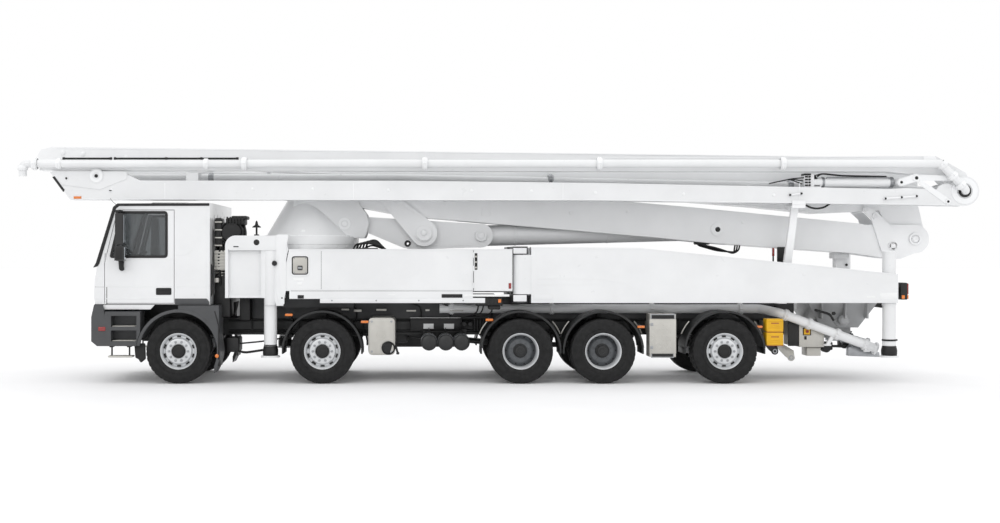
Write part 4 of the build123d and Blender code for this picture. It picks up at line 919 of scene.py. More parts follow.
def flank(o, out, inward=0.006):
    """Stretch of y from a little inside the deck's side skin to a little outside it."""
    return pair(o, SKIN - inward, SKIN + out)


def deck_side(side, o):
    """Doors, seams, latch window, skirt bars, vents and lamps on one flank of the deck."""
    white = Shape()
    door = [(-3.545, 1.845), (-3.470, 2.200), (-0.475, 2.200), (-0.475, 1.545), (-3.545, 1.545)]
    white.frame(door, grown(door, -0.014), flank(o, 0.004), 0.001)
    for x in (-0.462, -0.436):
        white.block(near(x, 0.005), flank(o, 0.004), (1.54, 2.21), 0.002)
    white.block((-3.46, 0.18), flank(o, 0.005), (2.205, 2.219), 0.003)
    white.block((-2.96, -0.27), flank(o, 0.004, 0.005), (1.345, 1.400), 0.012)
    white.block((-3.47, -0.47), flank(o, 0.004), (1.412, 1.418), 0.001)
    for z in (1.62, 1.90, 2.12):
        white.drum((-0.449, o * SKIN, z), "z", 0.011, 0.09)
    frame_line = rounded((-3.444, -3.164), (1.793, 2.105), 0.05)
    white.frame(grown(frame_line, 0.020), grown(frame_line, -0.004), flank(o, 0.010), 0.003)
    white.piece("deck_trim_" + side, "white")
    dark = Shape()
    dark.frame(frame_line, grown(frame_line, -0.022), flank(o, 0.006), 0.002)
    for x in (-2.955, -0.452):
        dark.block(near(x, 0.0025), flank(o, 0.0015), (1.545, 2.195), 0.001)
    dark.block((-3.46, -0.46), flank(o, 0.0015), (1.5275, 1.5325), 0.001)
    dark.block((-0.433, -0.386), flank(o, 0.004), (1.878, 2.152), 0.006)
    dark.block((-3.345, -3.262), flank(o, 0.016), (1.872, 1.946), 0.01)
    dark.block((-0.975, -0.632), flank(o, 0.005), (1.416, 1.478), 0.006)
    dark.block((-3.345, -3.24), flank(o, 0.004), (1.404, 1.462), 0.004)
    for k in range(8):
        x = -0.955 + 0.04 * k
        dark.block((x, x + 0.018), flank(o, 0.010), (1.42, 1.474), 0.003)
    dark.piece("deck_dark_" + side, "black")
    pane = Shape()
    pane.prism(grown(frame_line, -0.020), flank(o, 0.002), 0.001)
    for z in (1.915, 2.005, 2.095):
        pane.block((-0.424, -0.395), flank(o, 0.0065), near(z, 0.014), 0.003)
    pane.piece("deck_window_pane_" + side, "galv")
    latch = Shape()
    latch.block((-3.335, -3.272), flank(o, 0.022, -0.01), (1.89, 1.928), 0.006)
    latch.drum((-3.304, o * (SKIN + 0.018), 1.909), "y", 0.010, 0.016)
    for x, z in ((-3.40, 2.07), (-3.21, 2.07), (-3.40, 1.83), (-3.21, 1.83)):
        latch.bolt((x, o * (SKIN + 0.006), z), (0, o, 0), 0.008, 0.007)
    for x in (-2.78, -2.05, -1.35, -0.62):
        latch.bolt((x, o * (SKIN + 0.003), 1.372), (0, o, 0), 0.010, 0.008)
    latch.piece("deck_latch_" + side, "steel")
    tags = Shape()
    for x0, x1, z0, z1 in ((-3.42, -3.24, 1.70, 1.74), (-3.35, -3.28, 1.63, 1.67),
                           (-0.60, 0.14, 1.438, 1.474), (-1.86, -1.74, 1.46, 1.474)):
        tags.block((x0, x1), flank(o, 0.003), (z0, z1), 0.002)
    tags.piece("deck_bare_tags_" + side, "label")
    mark = Shape()
    mark.block((0.126, 0.172), flank(o, 0.008), (1.566, 1.660), 0.006)
    mark.piece("deck_reflector_" + side, "red")
    unit = Shape()
    unit.block((-0.417, 0.03), pair(o, SKIN - 0.30, SKIN - 0.02), (1.285, 1.415), 0.02)
    for k in range(5):
        x = -0.40 + 0.075 * k
        unit.block((x, x + 0.05), pair(o, SKIN - 0.03, SKIN - 0.012), (1.30, 1.39), 0.01)
    unit.block((-0.20, 0.0), pair(o, SKIN - 0.30, SKIN - 0.06), (1.22, 1.29), 0.02)
    for x in (-0.36, -0.28, -0.12):
        unit.tube([(x + a, o * (SKIN - deep), z) for a, deep, z in (
            (0, 0.10, 1.30), (-0.03, 0.10, 1.17), (-0.16, 0.30, 1.10), (-0.30, 0.55, 1.08))],
                  0.013, 0.08, 8)
    unit.piece("deck_valve_unit_" + side, "black")
    lamp = Shape()
    lamp.block((-0.045, 0.005), pair(o, SKIN - 0.02, SKIN - 0.001), (1.335, 1.395), 0.012)
    lamp.piece("deck_lamp_" + side, "amber")
    hinge = Shape()
    for z0, z1 in ((2.132, 2.250), (1.345, 1.475)):
        z2 = z1 - 0.012
        hinge.block((0.205, 0.425), pair(o, SKIN - 0.015, SKIN - 0.002), (z0 + 0.012, z2), 0.01)
        for k in range(3):
            z = z0 + 0.03 + k * 0.028
            hinge.block((0.215, 0.415), flank(o, 0.002, 0.01), (z, z + 0.010), 0.003)
    hinge.piece("rear_hinge_plates_" + side, "white")


def jack_middle(place, side):
    """Middle of a jack's leg and the height of its foot."""
    low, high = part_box(f"{place}_jack_{side}")
    return (low.x + high.x) / 2, (low.y + high.y) / 2, low.z


def front_arm(side, o):
    """Head plate of a front outrigger: panel edge, hole with painted shade in it, slot, jack column
    and collar.
    """
    arm = "front_arm_" + side
    ring = Shape()
    ring.ring((-4.020, o * (SKIN - 0.003), 2.329), "y", 0.050, 0.066, 0.014)
    ring.block((-4.467, -3.945), pair(o, SKIN - 0.066, SKIN - 0.054), (1.47, 2.195), 0.02)
    ring.prism([(-3.755, 1.50), (-3.69, 1.30), (-3.585, 1.30), (-3.575, 1.83), (-3.52, 2.20),
                (-3.545, 2.20), (-3.60, 1.83), (-3.61, 1.33), (-3.675, 1.33), (-3.735, 1.50)],
               flank(o, 0.004, 0.004), 0.002)
    for x, z in ((-4.44, 2.13), (-4.44, 1.55), (-3.98, 2.13), (-3.98, 1.55)):
        ring.drum((x, o * (SKIN - 0.052), z), "y", 0.014, 0.01)
    ring.lathe((-3.800, o * (SKIN - 0.062), 0), "z", [(0.0, 1.30), (0.098, 1.30), (0.100, 1.304),
                                                      (0.100, 2.196), (0.0, 2.196)], 40)
    ring.block((-4.47, -3.70), pair(o, SKIN - 0.05, SKIN + 0.030), (2.198, 2.214), 0.006)
    ring.prism(curved([(-3.700, 2.46), (-3.700, 1.52), (-3.660, 1.345), (-3.640, 1.30),
                       (-3.560, 1.30), (-3.560, 1.42), (-3.530, 1.55), (-3.530, 2.20),
                       (-3.490, 2.46)], 0.04, 4), flank(o, 0.012, 0.004), 0.006)
    ring.piece("arm_head_trim_" + side, "white", arm)
    dark = Shape()
    # dark disc filling the hole: painted shade inside it
    dark.drum((-4.020, o * (SKIN - 0.001), 2.329), "y", 0.049, 0.006)
    dark.block((-4.40, -4.315), pair(o, SKIN - 0.002, SKIN + 0.003), (2.250, 2.268), 0.004)
    dark.drum((-3.722, o * (SKIN + 0.022), 1.985), "y", 0.042, 0.028)
    dark.drum((-3.60, o * (SKIN + 0.011), 1.415), "y", 0.014, 0.006)
    x, y = jack_middle("front", side)[:2]
    dark.ring((x, y, 0.632), "z", 0.080, 0.1095, 0.02)
    dark.piece("arm_head_dark_parts_and_hole_shade_" + side, "black", arm)


def jack_feet(side):
    """Rubber boots and dished feet of both jacks on one side."""
    for place in ("front", "rear"):
        x, y, foot = jack_middle(place, side)
        rubber = Shape()
        rubber.lathe((x, y, foot), "z", [(0.0, 0.030), (0.118, 0.030), (0.126, 0.05),
                                         (0.128, 0.12), (0.112, 0.188), (0.0, 0.188)], 40)
        rubber.piece(f"{place}_jack_boot_{side}", "black", f"{place}_jack_{side}")
        dish = Shape()
        dish.lathe((x, y, foot), "z", [(0.0, 0.001), (0.155, 0.001), (0.1555, 0.01),
                                       (0.148, 0.030), (0.0, 0.045)], 48)
        dish.piece(f"{place}_jack_dish_{side}", "white", f"{place}_jack_{side}")


def rear_arm(side, o):
    """Edges, seams, jack rings and tail lamps of a rear outrigger."""
    x, y = jack_middle("rear", side)[:2]
    rear = "rear_arm_" + side
    ring = Shape()
    ring.ring((x, y, 0.714), "z", 0.100, 0.116, 0.030)
    ring.block((x + 0.10, x + 0.135), near(y, 0.02), (0.70, 0.73), 0.006)
    ring.piece("rear_jack_ring_" + side, "black", rear)
    white = Shape()
    white.ring((x, y, 0.655), "z", 0.100, 0.112, 0.05)
    white.ring((x, y, 1.300), "z", 0.100, 0.118, 0.03)
    white.lathe((x, y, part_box(rear)[1].z), "z", [(0, -0.10), (0.110, -0.10), (0.114, -0.094),
                                                 (0.114, -0.08), (0.1075, -0.07), (0, -0.07)], 36)
    white.prism([(0.53, 1.350), (6.50, 1.350), (6.50, 1.362), (0.53, 1.362)],
                flank(o, 0.004, 0.001), 0.002)
    white.prism([(0.53, 2.238), (2.29, 2.222), (3.27, 2.124), (4.75, 1.976), (6.50, 1.800),
                 (6.50, 1.788), (4.75, 1.964), (3.27, 2.112), (2.29, 2.210), (0.53, 2.226)],
                flank(o, 0.004, 0.001), 0.002)
    for x0, z0, x1, z1 in ((0.60, 1.725, 1.50, 1.725), (1.50, 1.725, 2.05, 1.655),
                           (0.60, 1.63, 1.62, 1.63)):
        white.prism([(x0, z0), (x1, z1), (x1, z1 + 0.008), (x0, z0 + 0.008)],
                    flank(o, 0.003, 0.001), 0.001)
    white.block((0.54, 0.86), flank(o, 0.006, 0.001), (1.39, 1.47), 0.01)
    white.piece("rear_arm_trim_" + side, "white", rear)
    lamp = Shape()
    lamp.block((6.585, 6.700), pair(o, SKIN - 0.24, SKIN - 0.02), (1.385, 1.665), 0.015)
    lamp.block((6.535, 6.60), pair(o, SKIN - 0.19, SKIN - 0.09), (1.50, 1.56), 0.01)
    lamp.tube([(6.56, o * (SKIN - 0.14), 1.52), (6.50, o * (SKIN - 0.14), 1.62)], 0.012)
    lamp.piece("tail_lamp_body_" + side, "black", rear)
    red = Shape()
    red.block((6.696, 6.724), pair(o, SKIN - 0.225, SKIN - 0.035), (1.47, 1.655), 0.01)
    red.piece("tail_lamp_red_" + side, "red", rear)
    amber = Shape()
    amber.block((6.690, 6.724), pair(o, SKIN - 0.225, SKIN - 0.035), (1.395, 1.465), 0.01)
    amber.block((6.600, 6.650), pair(o, SKIN - 0.021, SKIN - 0.008), (1.40, 1.46), 0.008)
    amber.piece("tail_lamp_amber_" + side, "amber", rear)
    tags = Shape()
    tags.block((6.02, 6.16), flank(o, 0.002, 0.001), (1.42, 1.45), 0.001)
    tags.block((6.24, 6.52), flank(o, 0.002, 0.001), (1.40, 1.50), 0.001)
    tags.piece("rear_arm_tags_" + side, "label", rear)


for side, o in SIDES.items():
    deck_side(side, o)
    front_arm(side, o)
    jack_feet(side)
    rear_arm(side, o)


# ---------------------------------------------------------------- running gear and frame
MARKERS = ((-3.494, 1.134), (-2.243, 1.019), (-0.186, 1.052), (2.315, 0.937), (4.256, 0.937))


def guards():
    """Edge beads and bright stay strips of the mudguards, with marker lamps on their arms."""
    for side, o in SIDES.items():
        bead = Shape()
        strips = Shape()
        lamps = Shape()
        for axle in (2, 3, 4, 5):
            x = JOINT[f"wheel_{axle}_{side}_spin"].x
            for r0, r1, y in ((0.636, 0.672, 1.239), (0.640, 0.652, 0.684)):
                bead.prism(band(x, HUB_Z, r0, r1, 5, 170, 36), pair(o, y - 0.03, y + 0.002), 0.004)
            for foot in (5, 175):
                a, b = polar(0.655, math.radians(foot))
                bead.block(near(x + a, 0.014), pair(o, 0.72, 1.235),
                           (HUB_Z + b - 0.10, HUB_Z + b), 0.006)
            for angle in () if axle == 2 else (28, 36, 144, 152):
                arc = [polar(0.725, math.radians(angle + step * 1.9)) for step in range(-3, 4)]
                strips.tube([(x + a, o, HUB_Z + b) for a, b in arc], 0.011, 0.02, 6)
        for x, z in MARKERS:
            lamps.block(near(x, 0.062), pair(o, 1.18, 1.205), near(z, 0.020), 0.008)
        bead.piece("mudguard_edges_" + side, "guard")
        strips.piece("mudguard_strips_" + side, "galv")
        lamps.piece("side_markers_" + side, "amber")
        arms = Shape()
        for x, z in MARKERS:
            arms.block(near(x, 0.05), pair(o, 1.165, 1.185), near(z, 0.03), 0.006)
            arms.tube([(x, o * 1.17, z), (x, o * 0.95, z + 0.02), (x, o * 0.42, 0.98)], 0.014, 0.08)
        arms.piece("side_marker_arms_" + side, "black")


def springs_and_shafts():
    """Leaf springs, brake chambers, dampers and propeller shafts."""
    dark = Shape()
    for axle in (1, 2, 3, 4, 5):
        x = JOINT[f"wheel_{axle}_left_spin"].x
        for o in (-1, 1):
            for k in range(4):
                half = 0.60 - 0.11 * k
                z = 0.675 - 0.014 * k + (0.03 if axle in (3, 4) else 0.0)
                rise = [(-half, 0.055), (-half * 0.5, 0.018), (0, 0), (half * 0.5, 0.018),
                        (half, 0.055)]
                dark.prism([(x + a, z + b) for a, b in rise]
                           + [(x + a, z + b + 0.012) for a, b in reversed(rise)],
                           pair(o, 0.345, 0.425), 0.002)
            for a in (-0.60, 0.60):
                dark.drum((x + a, o * 0.385, 0.735), "y", 0.035, 0.10)
                dark.block(near(x + a, 0.05), pair(o, 0.36, 0.43), (0.74, 0.80), 0.01)
            for a in (-0.06, 0.06):
                dark.tube([(x + a, o * 0.36, 0.50), (x + a, o * 0.36, 0.72)], 0.011)
            dark.drum((x - 0.20, o * 0.50, 0.58), (0.8, 0, 0.25), 0.075, 0.12, 0.02)
            dark.drum((x - 0.29, o * 0.50, 0.55), (0.8, 0, 0.25), 0.068, 0.10, 0.02)
            dark.tube([(x + 0.16, o * 0.47, 0.50), (x + 0.22, o * 0.47, 0.82)], 0.032)
    dark.tube([(-5.0, 0, 0.86), (-3.2, 0, 0.78), (-1.6, 0, 0.74), (0.12, 0, 0.58)], 0.05, 0.05, 16)
    dark.tube([(0.54, 0, 0.56), (1.48, 0, 0.56)], 0.045, 0.05, 16)
    dark.block((-2.10, -1.55), (-0.20, 0.20), (0.60, 0.86), 0.03)
    for x, z in ((-3.2, 0.78), (-1.65, 0.72), (0.10, 0.565), (0.58, 0.565), (1.44, 0.565)):
        dark.drum((x, 0, z), "x", 0.075, 0.05)
    dark.piece("springs_and_shafts", "rail")


def frame_gear():
    """Pipes with their clips, rows of bolts and clamp plates along the frame."""
    hoses = Shape()
    for o in SIDES.values():
        for k, z in enumerate((0.80, 0.835, 0.99, 1.015)):
            y = o * (0.438 + 0.012 * (k % 2))
            hoses.tube([(-4.6, y, z), (-3.9, y, z + 0.01), (-1.9, y, z), (-0.3, y, z + 0.01),
                        (1.2, y, z), (2.9, y, z + 0.01), (4.9, y, z)], 0.011, 0.3, 6)
        for x in (-4.2, -3.4, -2.3, -1.3, -0.3, 0.9, 2.3, 3.1, 4.3):
            hoses.block(near(x, 0.015), pair(o, 0.43, 0.466), (0.785, 1.03), 0.004)
        for x in (-2.45, -1.35, -0.85, -0.15):
            hoses.tube([(x, o * 0.45, 0.98), (x + 0.05, o * 0.55, 1.10), (x + 0.02, o * 0.62, 1.25),
                        (x - 0.10, o * 0.70, 1.30)], 0.014, 0.08, 8)
    hoses.piece("frame_pipes", "hose")
    bolts = Shape()
    for o in (-1, 1):
        for k in range(44):
            x = -6.30 + 0.255 * k
            for z in (0.815, 0.985) if k % 3 else (0.815, 0.90, 0.985):
                bolts.bolt((x, o * 0.43, z), (0, o, 0), 0.012, 0.010)
    bolts.piece("frame_bolts", "rail")
    bright = Shape()
    for x0, x1, z, t in ((-2.66, -2.53, 1.20, 0.03), (-2.45, -2.32, 1.18, 0.04),
                         (-2.07, -1.90, 1.195, 0.035), (-1.56, -1.40, 1.18, 0.025),
                         (-1.24, -1.17, 1.19, 0.03), (-0.83, -0.60, 1.18, 0.015)):
        bright.block((x0, x1), (-0.700, -0.665), (z - t / 2, z + t / 2), 0.006)
    bright.piece("clamp_plates", "galv")


def silencer():
    """Perforated cover of the silencer, its bolts and its outlet."""
    (x0, y0, z0), (x1, _, z1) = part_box("exhaust_silencer")
    body = Shape()
    outline = rounded((x0, x1), (z0, z1), 0.085, 6)
    body.prism(outline, (y0 + 0.02, -0.50), 0.018)
    body.prism(grown(outline, -0.020), (y0 + 0.004, y0 + 0.03), 0.008)
    body.block((x0 + 0.06, x1 - 0.06), (-0.505, -0.43), (0.80, 1.0), 0.01)
    middle = (x0 + x1) / 2
    body.ring((middle - 0.01, y0 + 0.004, 0.80), "y", 0.066, 0.078, 0.01)
    body.ring((middle - 0.01, y0 + 0.004, 0.80), "y", 0.030, 0.040, 0.008)
    for k in range(-8, 9):
        for j in range(-11, 12):
            x, z = middle + 0.022 * k, (z0 + z1) / 2 + 0.022 * j
            from_ring = math.hypot(x - middle, z - 0.80)
            if from_ring > 0.09 and math.hypot(x - x1 + 0.12, z - z0 - 0.10) > 0.12:
                body.lathe((x, y0 + 0.0045, z), (0, -1, 0),
                           [(0.0055, 0.0), (0.0045, 0.0025), (0, 0.0025)], 5)
    body.piece("silencer_cover", "galv", stands_for=("exhaust_silencer",))
    bolts = Shape()
    for x in (x0 + 0.06, x1 - 0.06):
        for z in (z0 + 0.06, z1 - 0.06):
            bolts.bolt((x, y0 + 0.004, z), (0, -1, 0), 0.014, 0.010)
    bolts.piece("silencer_bolts", "steel")
    outlet = Shape()
    ox, oz = x1 - 0.115, z0 + 0.12
    outlet.lathe((ox, y0 + 0.02, oz), (0.18, -1, -0.05), [
        (0.095, -0.02), (0.112, 0.0), (0.112, 0.045), (0.100, 0.055), (0.092, 0.045),
        (0.088, 0.026), (0, 0.026)], 36)
    outlet.tube([(x1 - 0.01, y0 + 0.06, z0 + 0.22), (x1 + 0.045, y0 + 0.03, z0 + 0.03)], 0.018)
    outlet.block((x1 + 0.02, x1 + 0.07), (y0 + 0.01, y0 + 0.05), (z0 + 0.01, z0 + 0.05), 0.01)
    outlet.piece("silencer_outlet", "black")


def tanks_and_panel():
    """Air tank ends and bands, control panel, filters and their bare tags."""
    tank = Shape()
    bands = Shape()
    for x in (-1.182, -0.903, -0.640):
        tank.lathe((x, -1.150, 0.674), (0, -1, 0), [
            (0.1325, -0.06), (0.1335, -0.01), (0.128, 0.006), (0.105, 0.022), (0.06, 0.033),
            (0.018, 0.036), (0.018, 0.044), (0, 0.044)], 40)
        for y in (-1.02, -0.70):
            bands.ring((x, y, 0.674), "y", 0.132, 0.137, 0.03)
        tank.tube([(x, -1.0, 0.80), (x, -0.9, 0.86), (x, -0.6, 0.88)], 0.01, 0.05, 8)
    tank.piece("air_tank_ends", "rail")
    bands.piece("air_tank_bands", "steel")
    panel = Shape()
    panel.block((-1.50, -0.62), (-0.575, -0.520), (0.835, 1.050), 0.012)
    panel.block((-1.22, -0.60), (-0.72, -0.50), (0.815, 0.83), 0.004)
    for x in (-0.58, -0.48):
        panel.drum((x, -0.60, 0.95), "y", 0.045, 0.14, 0.01)
    for k in range(5):
        panel.block((-0.42 + 0.05 * k, -0.39 + 0.05 * k), (-0.58, -0.50), (0.83, 1.03), 0.008)
    panel.block((-3.92, -3.83), (-0.75, -0.44), (0.62, 0.90), 0.02)
    panel.block((-4.56, -4.36), (-0.95, -0.48), (0.50, 0.74), 0.02)
    panel.block((-4.37, -4.19), (-0.76, -0.46), (1.02, 1.42), 0.02)
    panel.tube([(-4.46, -0.70, 0.53), (-4.30, -0.70, 0.47), (-3.95, -0.66, 0.52)], 0.02, 0.1)
    panel.tube([(-4.46, -0.72, 0.62), (-4.0, -0.66, 0.66), (-3.6, -0.55, 0.72)], 0.014, 0.1)
    panel.piece("panel_and_filters", "black")
    tags = Shape()
    for x in ((-1.273, -1.100), (-0.925, -0.755)):
        tags.block(x, (-0.581, -0.572), (0.868, 0.955), 0.003)
    tags.block((-1.50, -0.64), (-0.600, -0.588), (1.052, 1.060), 0.002)
    tags.piece("panel_bare_tags", "label")
    Shape().drum((-1.185, -0.60, 0.800), "y", 0.026, 0.05, 0.008).piece("panel_amber_cap", "amber")


def checker(shape, x, z, y, step=0.060):
    """Raised lozenges of checker plate on a flank, alternately turned."""
    columns, rows = int((x[1] - x[0]) / step), int((z[1] - z[0]) / step)
    for i in range(columns):
        for j in range(rows):
            cx, cz = x[0] + (i + 0.5) * step, z[0] + (j + 0.5) * step
            turn = math.radians(45 if (i + j) % 2 else -45)
            ux, uz = math.cos(turn), math.sin(turn)
            a, b = step * 0.42, step * 0.16
            top = shape.bm.verts.new((cx, y - 0.006, cz))
            ring = [shape.bm.verts.new((cx + p * ux * a - q * uz * b, y,
                                        cz + p * uz * a + q * ux * b))
                    for p, q in ((1, 0), (0, 1), (-1, 0), (0, -1))]
            for m in range(4):
                shape.bm.faces.new((ring[m], ring[(m + 1) % 4], top))


def lockers():
    """Checker door and frames of the side locker, and the two chock boxes."""
    x = (2.452, 2.880)
    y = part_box("side_lockers")[0].y
    plate = Shape()
    plate.block((x[0] - 0.006, x[1] + 0.006), (y - 0.006, y + 0.03), (0.500, 1.065), 0.008)
    checker(plate, (x[0] + 0.014, x[1] - 0.014), (0.515, 1.05), y - 0.0055)
    plate.piece("locker_checker_door", "galv")
    edge = Shape()
    edge.frame([(x[0] + 0.01, 1.068), (x[0] + 0.01, 1.150), (x[1] - 0.01, 1.150),
                (x[1] - 0.01, 1.068)],
               [(x[0] + 0.028, 1.07), (x[0] + 0.028, 1.134), (x[1] - 0.028, 1.134),
                (x[1] - 0.028, 1.07)], (y - 0.008, y + 0.01), 0.002)
    edge.frame([(x[0] + 0.02, 0.430), (x[0] + 0.02, 0.498), (x[1] - 0.03, 0.498),
                (x[1] - 0.03, 0.430)],
               [(x[0] + 0.036, 0.446), (x[0] + 0.036, 0.497), (x[1] - 0.046, 0.497),
                (x[1] - 0.046, 0.446)], (y - 0.006, y + 0.01), 0.002)
    for z in (0.60, 0.98):
        edge.block((x[0] + 0.005, x[0] + 0.055), (y - 0.014, y), near(z, 0.025), 0.006)
    edge.piece("locker_frames", "steel")
    hole = Shape()
    hole.block((x[0] + 0.028, x[1] - 0.028), (y - 0.003, y + 0.01), (1.072, 1.134), 0.002)
    hole.block((x[0] + 0.036, x[1] - 0.046), (y - 0.003, y + 0.01), (0.447, 0.497), 0.002)
    hole.piece("locker_recesses", "black")
    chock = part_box("wheel_chocks")
    cx, cy = (chock[0].x, chock[1].x), chock[0].y
    yellow = Shape()
    dark = Shape()
    for z0, z1 in ((0.855, 1.069), (0.630, 0.845)):
        outline = curved([(cx[0], z0), (cx[0] - 0.002, z1), (cx[1], z1), (cx[1], z0)], 0.022, 4)
        mid = (cx[0] + cx[1]) / 2
        yellow.prism(outline, (cy, chock[1].y), 0.012)
        for z in ((z1 - 0.045, z1 - 0.012), (z0 + 0.012, z0 + 0.05)):
            yellow.block((cx[0] + 0.02, cx[1] - 0.02), (cy - 0.008, cy + 0.02), z, 0.008)
        yellow.block(near(mid, 0.07), (cy - 0.010, cy + 0.01), (z0 + 0.085, z0 + 0.105), 0.006)
        dark.block(near(mid, 0.065), (cy - 0.003, cy + 0.01), (z0 + 0.135, z0 + 0.150), 0.003)
        dark.block((cx[0] + 0.004, cx[1] - 0.004), (cy + 0.01, cy + 0.05), (z0 - 0.008, z0 + 0.003),
                   0.002)
    yellow.piece("chock_boxes", "yellow", stands_for=("wheel_chocks",))
    dark.piece("chock_slots", "red")


guards()
springs_and_shafts()
frame_gear()
silencer()
tanks_and_panel()
lockers()


# ---------------------------------------------------------------- boom and turret
FLANK_1, FLANK_2, FLANK_3 = 0.300, 0.240, -0.930
TIP_PIPE_Y, TIP_PIPE_Z = -1.022, 3.640
PIN_A, PIN_B = JOINT["section_1_lift"], JOINT["section_2_unfold"]
PIN_C, PIN_D = JOINT["section_3_unfold"], JOINT["section_4_unfold"]
SLEW = JOINT["boom_slew"]
ROCKER, LINK = JOINT["lift_rocker_swing"], JOINT["lift_link_swing"]
LINK_HEAD = (-2.000, 3.200)
BARREL, ROD_EYE = JOINT["lift_cylinder_swing"], Vector((3.785, 0, 2.560))
KNEE_1 = ((6.788, 2.279), (6.48, 2.790), (6.335, 2.900))
KNEE_3 = ((6.953, 3.407), (6.702, 3.335), (7.482, 3.013), (7.554, 3.402))


def clamp(shape, centre, axis, pipe=0.0665):
    """Pipe coupling: two raised lips, a hinge lug and a closing lever."""
    c = Vector(centre)
    shape.lathe(c, axis, [(pipe, -0.045), (pipe + 0.008, -0.045), (pipe + 0.008, -0.030),
                          (pipe + 0.021, -0.028), (pipe + 0.024, -0.012), (pipe + 0.016, 0.0),
                          (pipe + 0.024, 0.012), (pipe + 0.021, 0.028), (pipe + 0.008, 0.030),
                          (pipe + 0.008, 0.045), (pipe, 0.045)], 32)
    turn = towards(axis)
    up = turn @ Vector((1, 0, 0))
    shape.drum(c + up * (pipe + 0.030), axis, 0.012, 0.075)
    shape.drum(c - up * (pipe + 0.026), axis, 0.010, 0.06)


def beads(shape, points, y, thick=0.012, out=0.005):
    """Weld bead or flange edge that follows a line of (x, z) points on a flank."""
    for (x0, z0), (x1, z1) in zip(points, points[1:]):
        shape.prism([(x0, z0), (x1, z1), (x1, z1 + thick), (x0, z0 + thick)],
                    sorted((y, y + math.copysign(out, y))), 0.002)


def section_1():
    """First boom section: weld beads, buttons, pins, hoses and couplings."""
    white = Shape()
    for o in (-1, 1):
        face = FLANK_1 * o
        beads(white, [(-1.55, 2.795), (2.80, 2.420), (3.64, 2.335), (6.45, 2.132)], face)
        beads(white, [(-1.88, 3.380), (3.30, 2.926), (6.25, 2.645)], face)
        for x, z in ((-0.912, 3.015), (1.255, 2.843), (2.236, 2.869), (4.214, 2.688)):
            white.boss((x, face, z), (0, o, 0), 0.030, 0.006, 0.022, 0.012)
        white.ring((PIN_B.x, o * 0.322, PIN_B.z), "y", 0.072, 0.105, 0.018)
        white.prism(curved([(3.69, 2.52), (3.69, 2.60), (3.755, 2.69), (3.815, 2.69), (3.88, 2.60),
                            (3.88, 2.52), (3.83, 2.465), (3.74, 2.465)], 0.03, 3),
                    pair(o, FLANK_1, FLANK_1 + 0.022), 0.005)
        for (x, z), r in zip(KNEE_1, (0.078, 0.052, 0.040)):
            white.ring((x, o * 0.345, z), "y", r * 0.55, r, 0.030)
        white.block((-0.275, -0.121), pair(o, FLANK_1, FLANK_1 + 0.006), (2.792, 2.946))
    white.piece("section_1_trim", "boom", "boom_1")
    pins = Shape()
    for o in (-1, 1):
        for (x, z), r, y in zip(((PIN_B.x, PIN_B.z), *KNEE_1), (0.050, 0.040, 0.026, 0.020),
                                (0.330, 0.356, 0.355, 0.352)):
            pins.lathe((x, o * (y - 0.012), z), (0, o, 0), [
                (0, 0), (r, 0), (r, 0.012), (r * 0.85, 0.018), (r * 0.3, 0.018),
                (r * 0.25, 0.013), (0, 0.013)], 28)
    pins.piece("section_1_pins", "boom", "boom_1")
    eye = Shape()
    for o in (-1, 1):
        eye.drum((ROD_EYE.x, o * 0.318, ROD_EYE.z), "y", 0.044, 0.016)
    eye.piece("section_1_eye", "black", "boom_1")
    hoses = Shape()
    for k in range(3):
        y = -0.265 + 0.04 * k
        hoses.tube([(3.42, y, 2.37), (3.48, y, 2.31 - 0.012 * k), (3.80, y, 2.235 - 0.02 * k),
                    (4.06 + 0.02 * k, y, 2.145 + 0.012 * k), (4.16 - 0.03 * k, y, 2.20),
                    (4.18 - 0.03 * k, y, 2.33)], 0.015, 0.09, 8)
    hoses.block((3.40, 3.66), (-0.285, -0.15), (2.30, 2.42), 0.02)
    for low in (0, 0.035):
        hoses.tube([(x, 0.312, z - low) for x, z in ((-2.0, 3.20), (0.0, 3.03), (3.3, 2.74),
                                                     (6.2, 2.46))], 0.012, 0.4, 8)
    hoses.piece("section_1_hoses", "hose", "boom_1")
    pipes = Shape()
    for x, z in ((-1.2, 3.194), (2.2, 2.914), (5.6, 2.634)):
        clamp(pipes, (x, 0.430, z), (1, 0, -0.0824))
    pipes.piece("section_1_couplings", "steel", "boom_1")


def section_2():
    """Second boom section: weld beads, buttons, saddles, bolts and couplings."""
    white = Shape()
    for o in (-1, 1):
        face = FLANK_2 * o
        beads(white, [(-7.60, 3.955), (6.60, 3.797)], face)
        beads(white, [(-4.95, 3.595), (-4.33, 3.595), (-2.03, 3.475), (4.47, 2.955), (5.52, 2.845)],
              face)
        for x, z in ((-7.488, 3.885), (-7.143, 3.863), (-6.4, 3.80), (6.50, 3.58)):
            white.boss((x, face, z), (0, o, 0), 0.040, 0.010, 0.028, 0.018)
    white.block((-7.6, 6.7), (-0.10, 0.10), (3.80, 3.805), 0.002)
    for k in range(7):
        x = -6.9 + 2.1 * k
        sink = 0.0112 * (x + 7.6)
        white.block((x, x + 0.03), (-0.235, 0.235), (3.93 - sink, 3.964 - sink))
    white.piece("section_2_trim", "boom", "boom_2")
    pins = Shape()
    for o in (-1, 1):
        for a, b in (polar(0.135, angle) for angle in around(6)):
            pins.bolt((PIN_C.x + a, o * FLANK_2, PIN_C.z + b), (0, o, 0), 0.010, 0.008)
    pins.piece("section_2_pins", "steel", "boom_2")
    pipes = Shape()
    for x in (-5.4, -1.9, 1.9, 5.2):
        clamp(pipes, (x, 0.545, 3.600 - (x + 6.3) * 0.02276), (1, 0, -0.0228))
    pipes.piece("section_2_couplings", "steel", "boom_2")


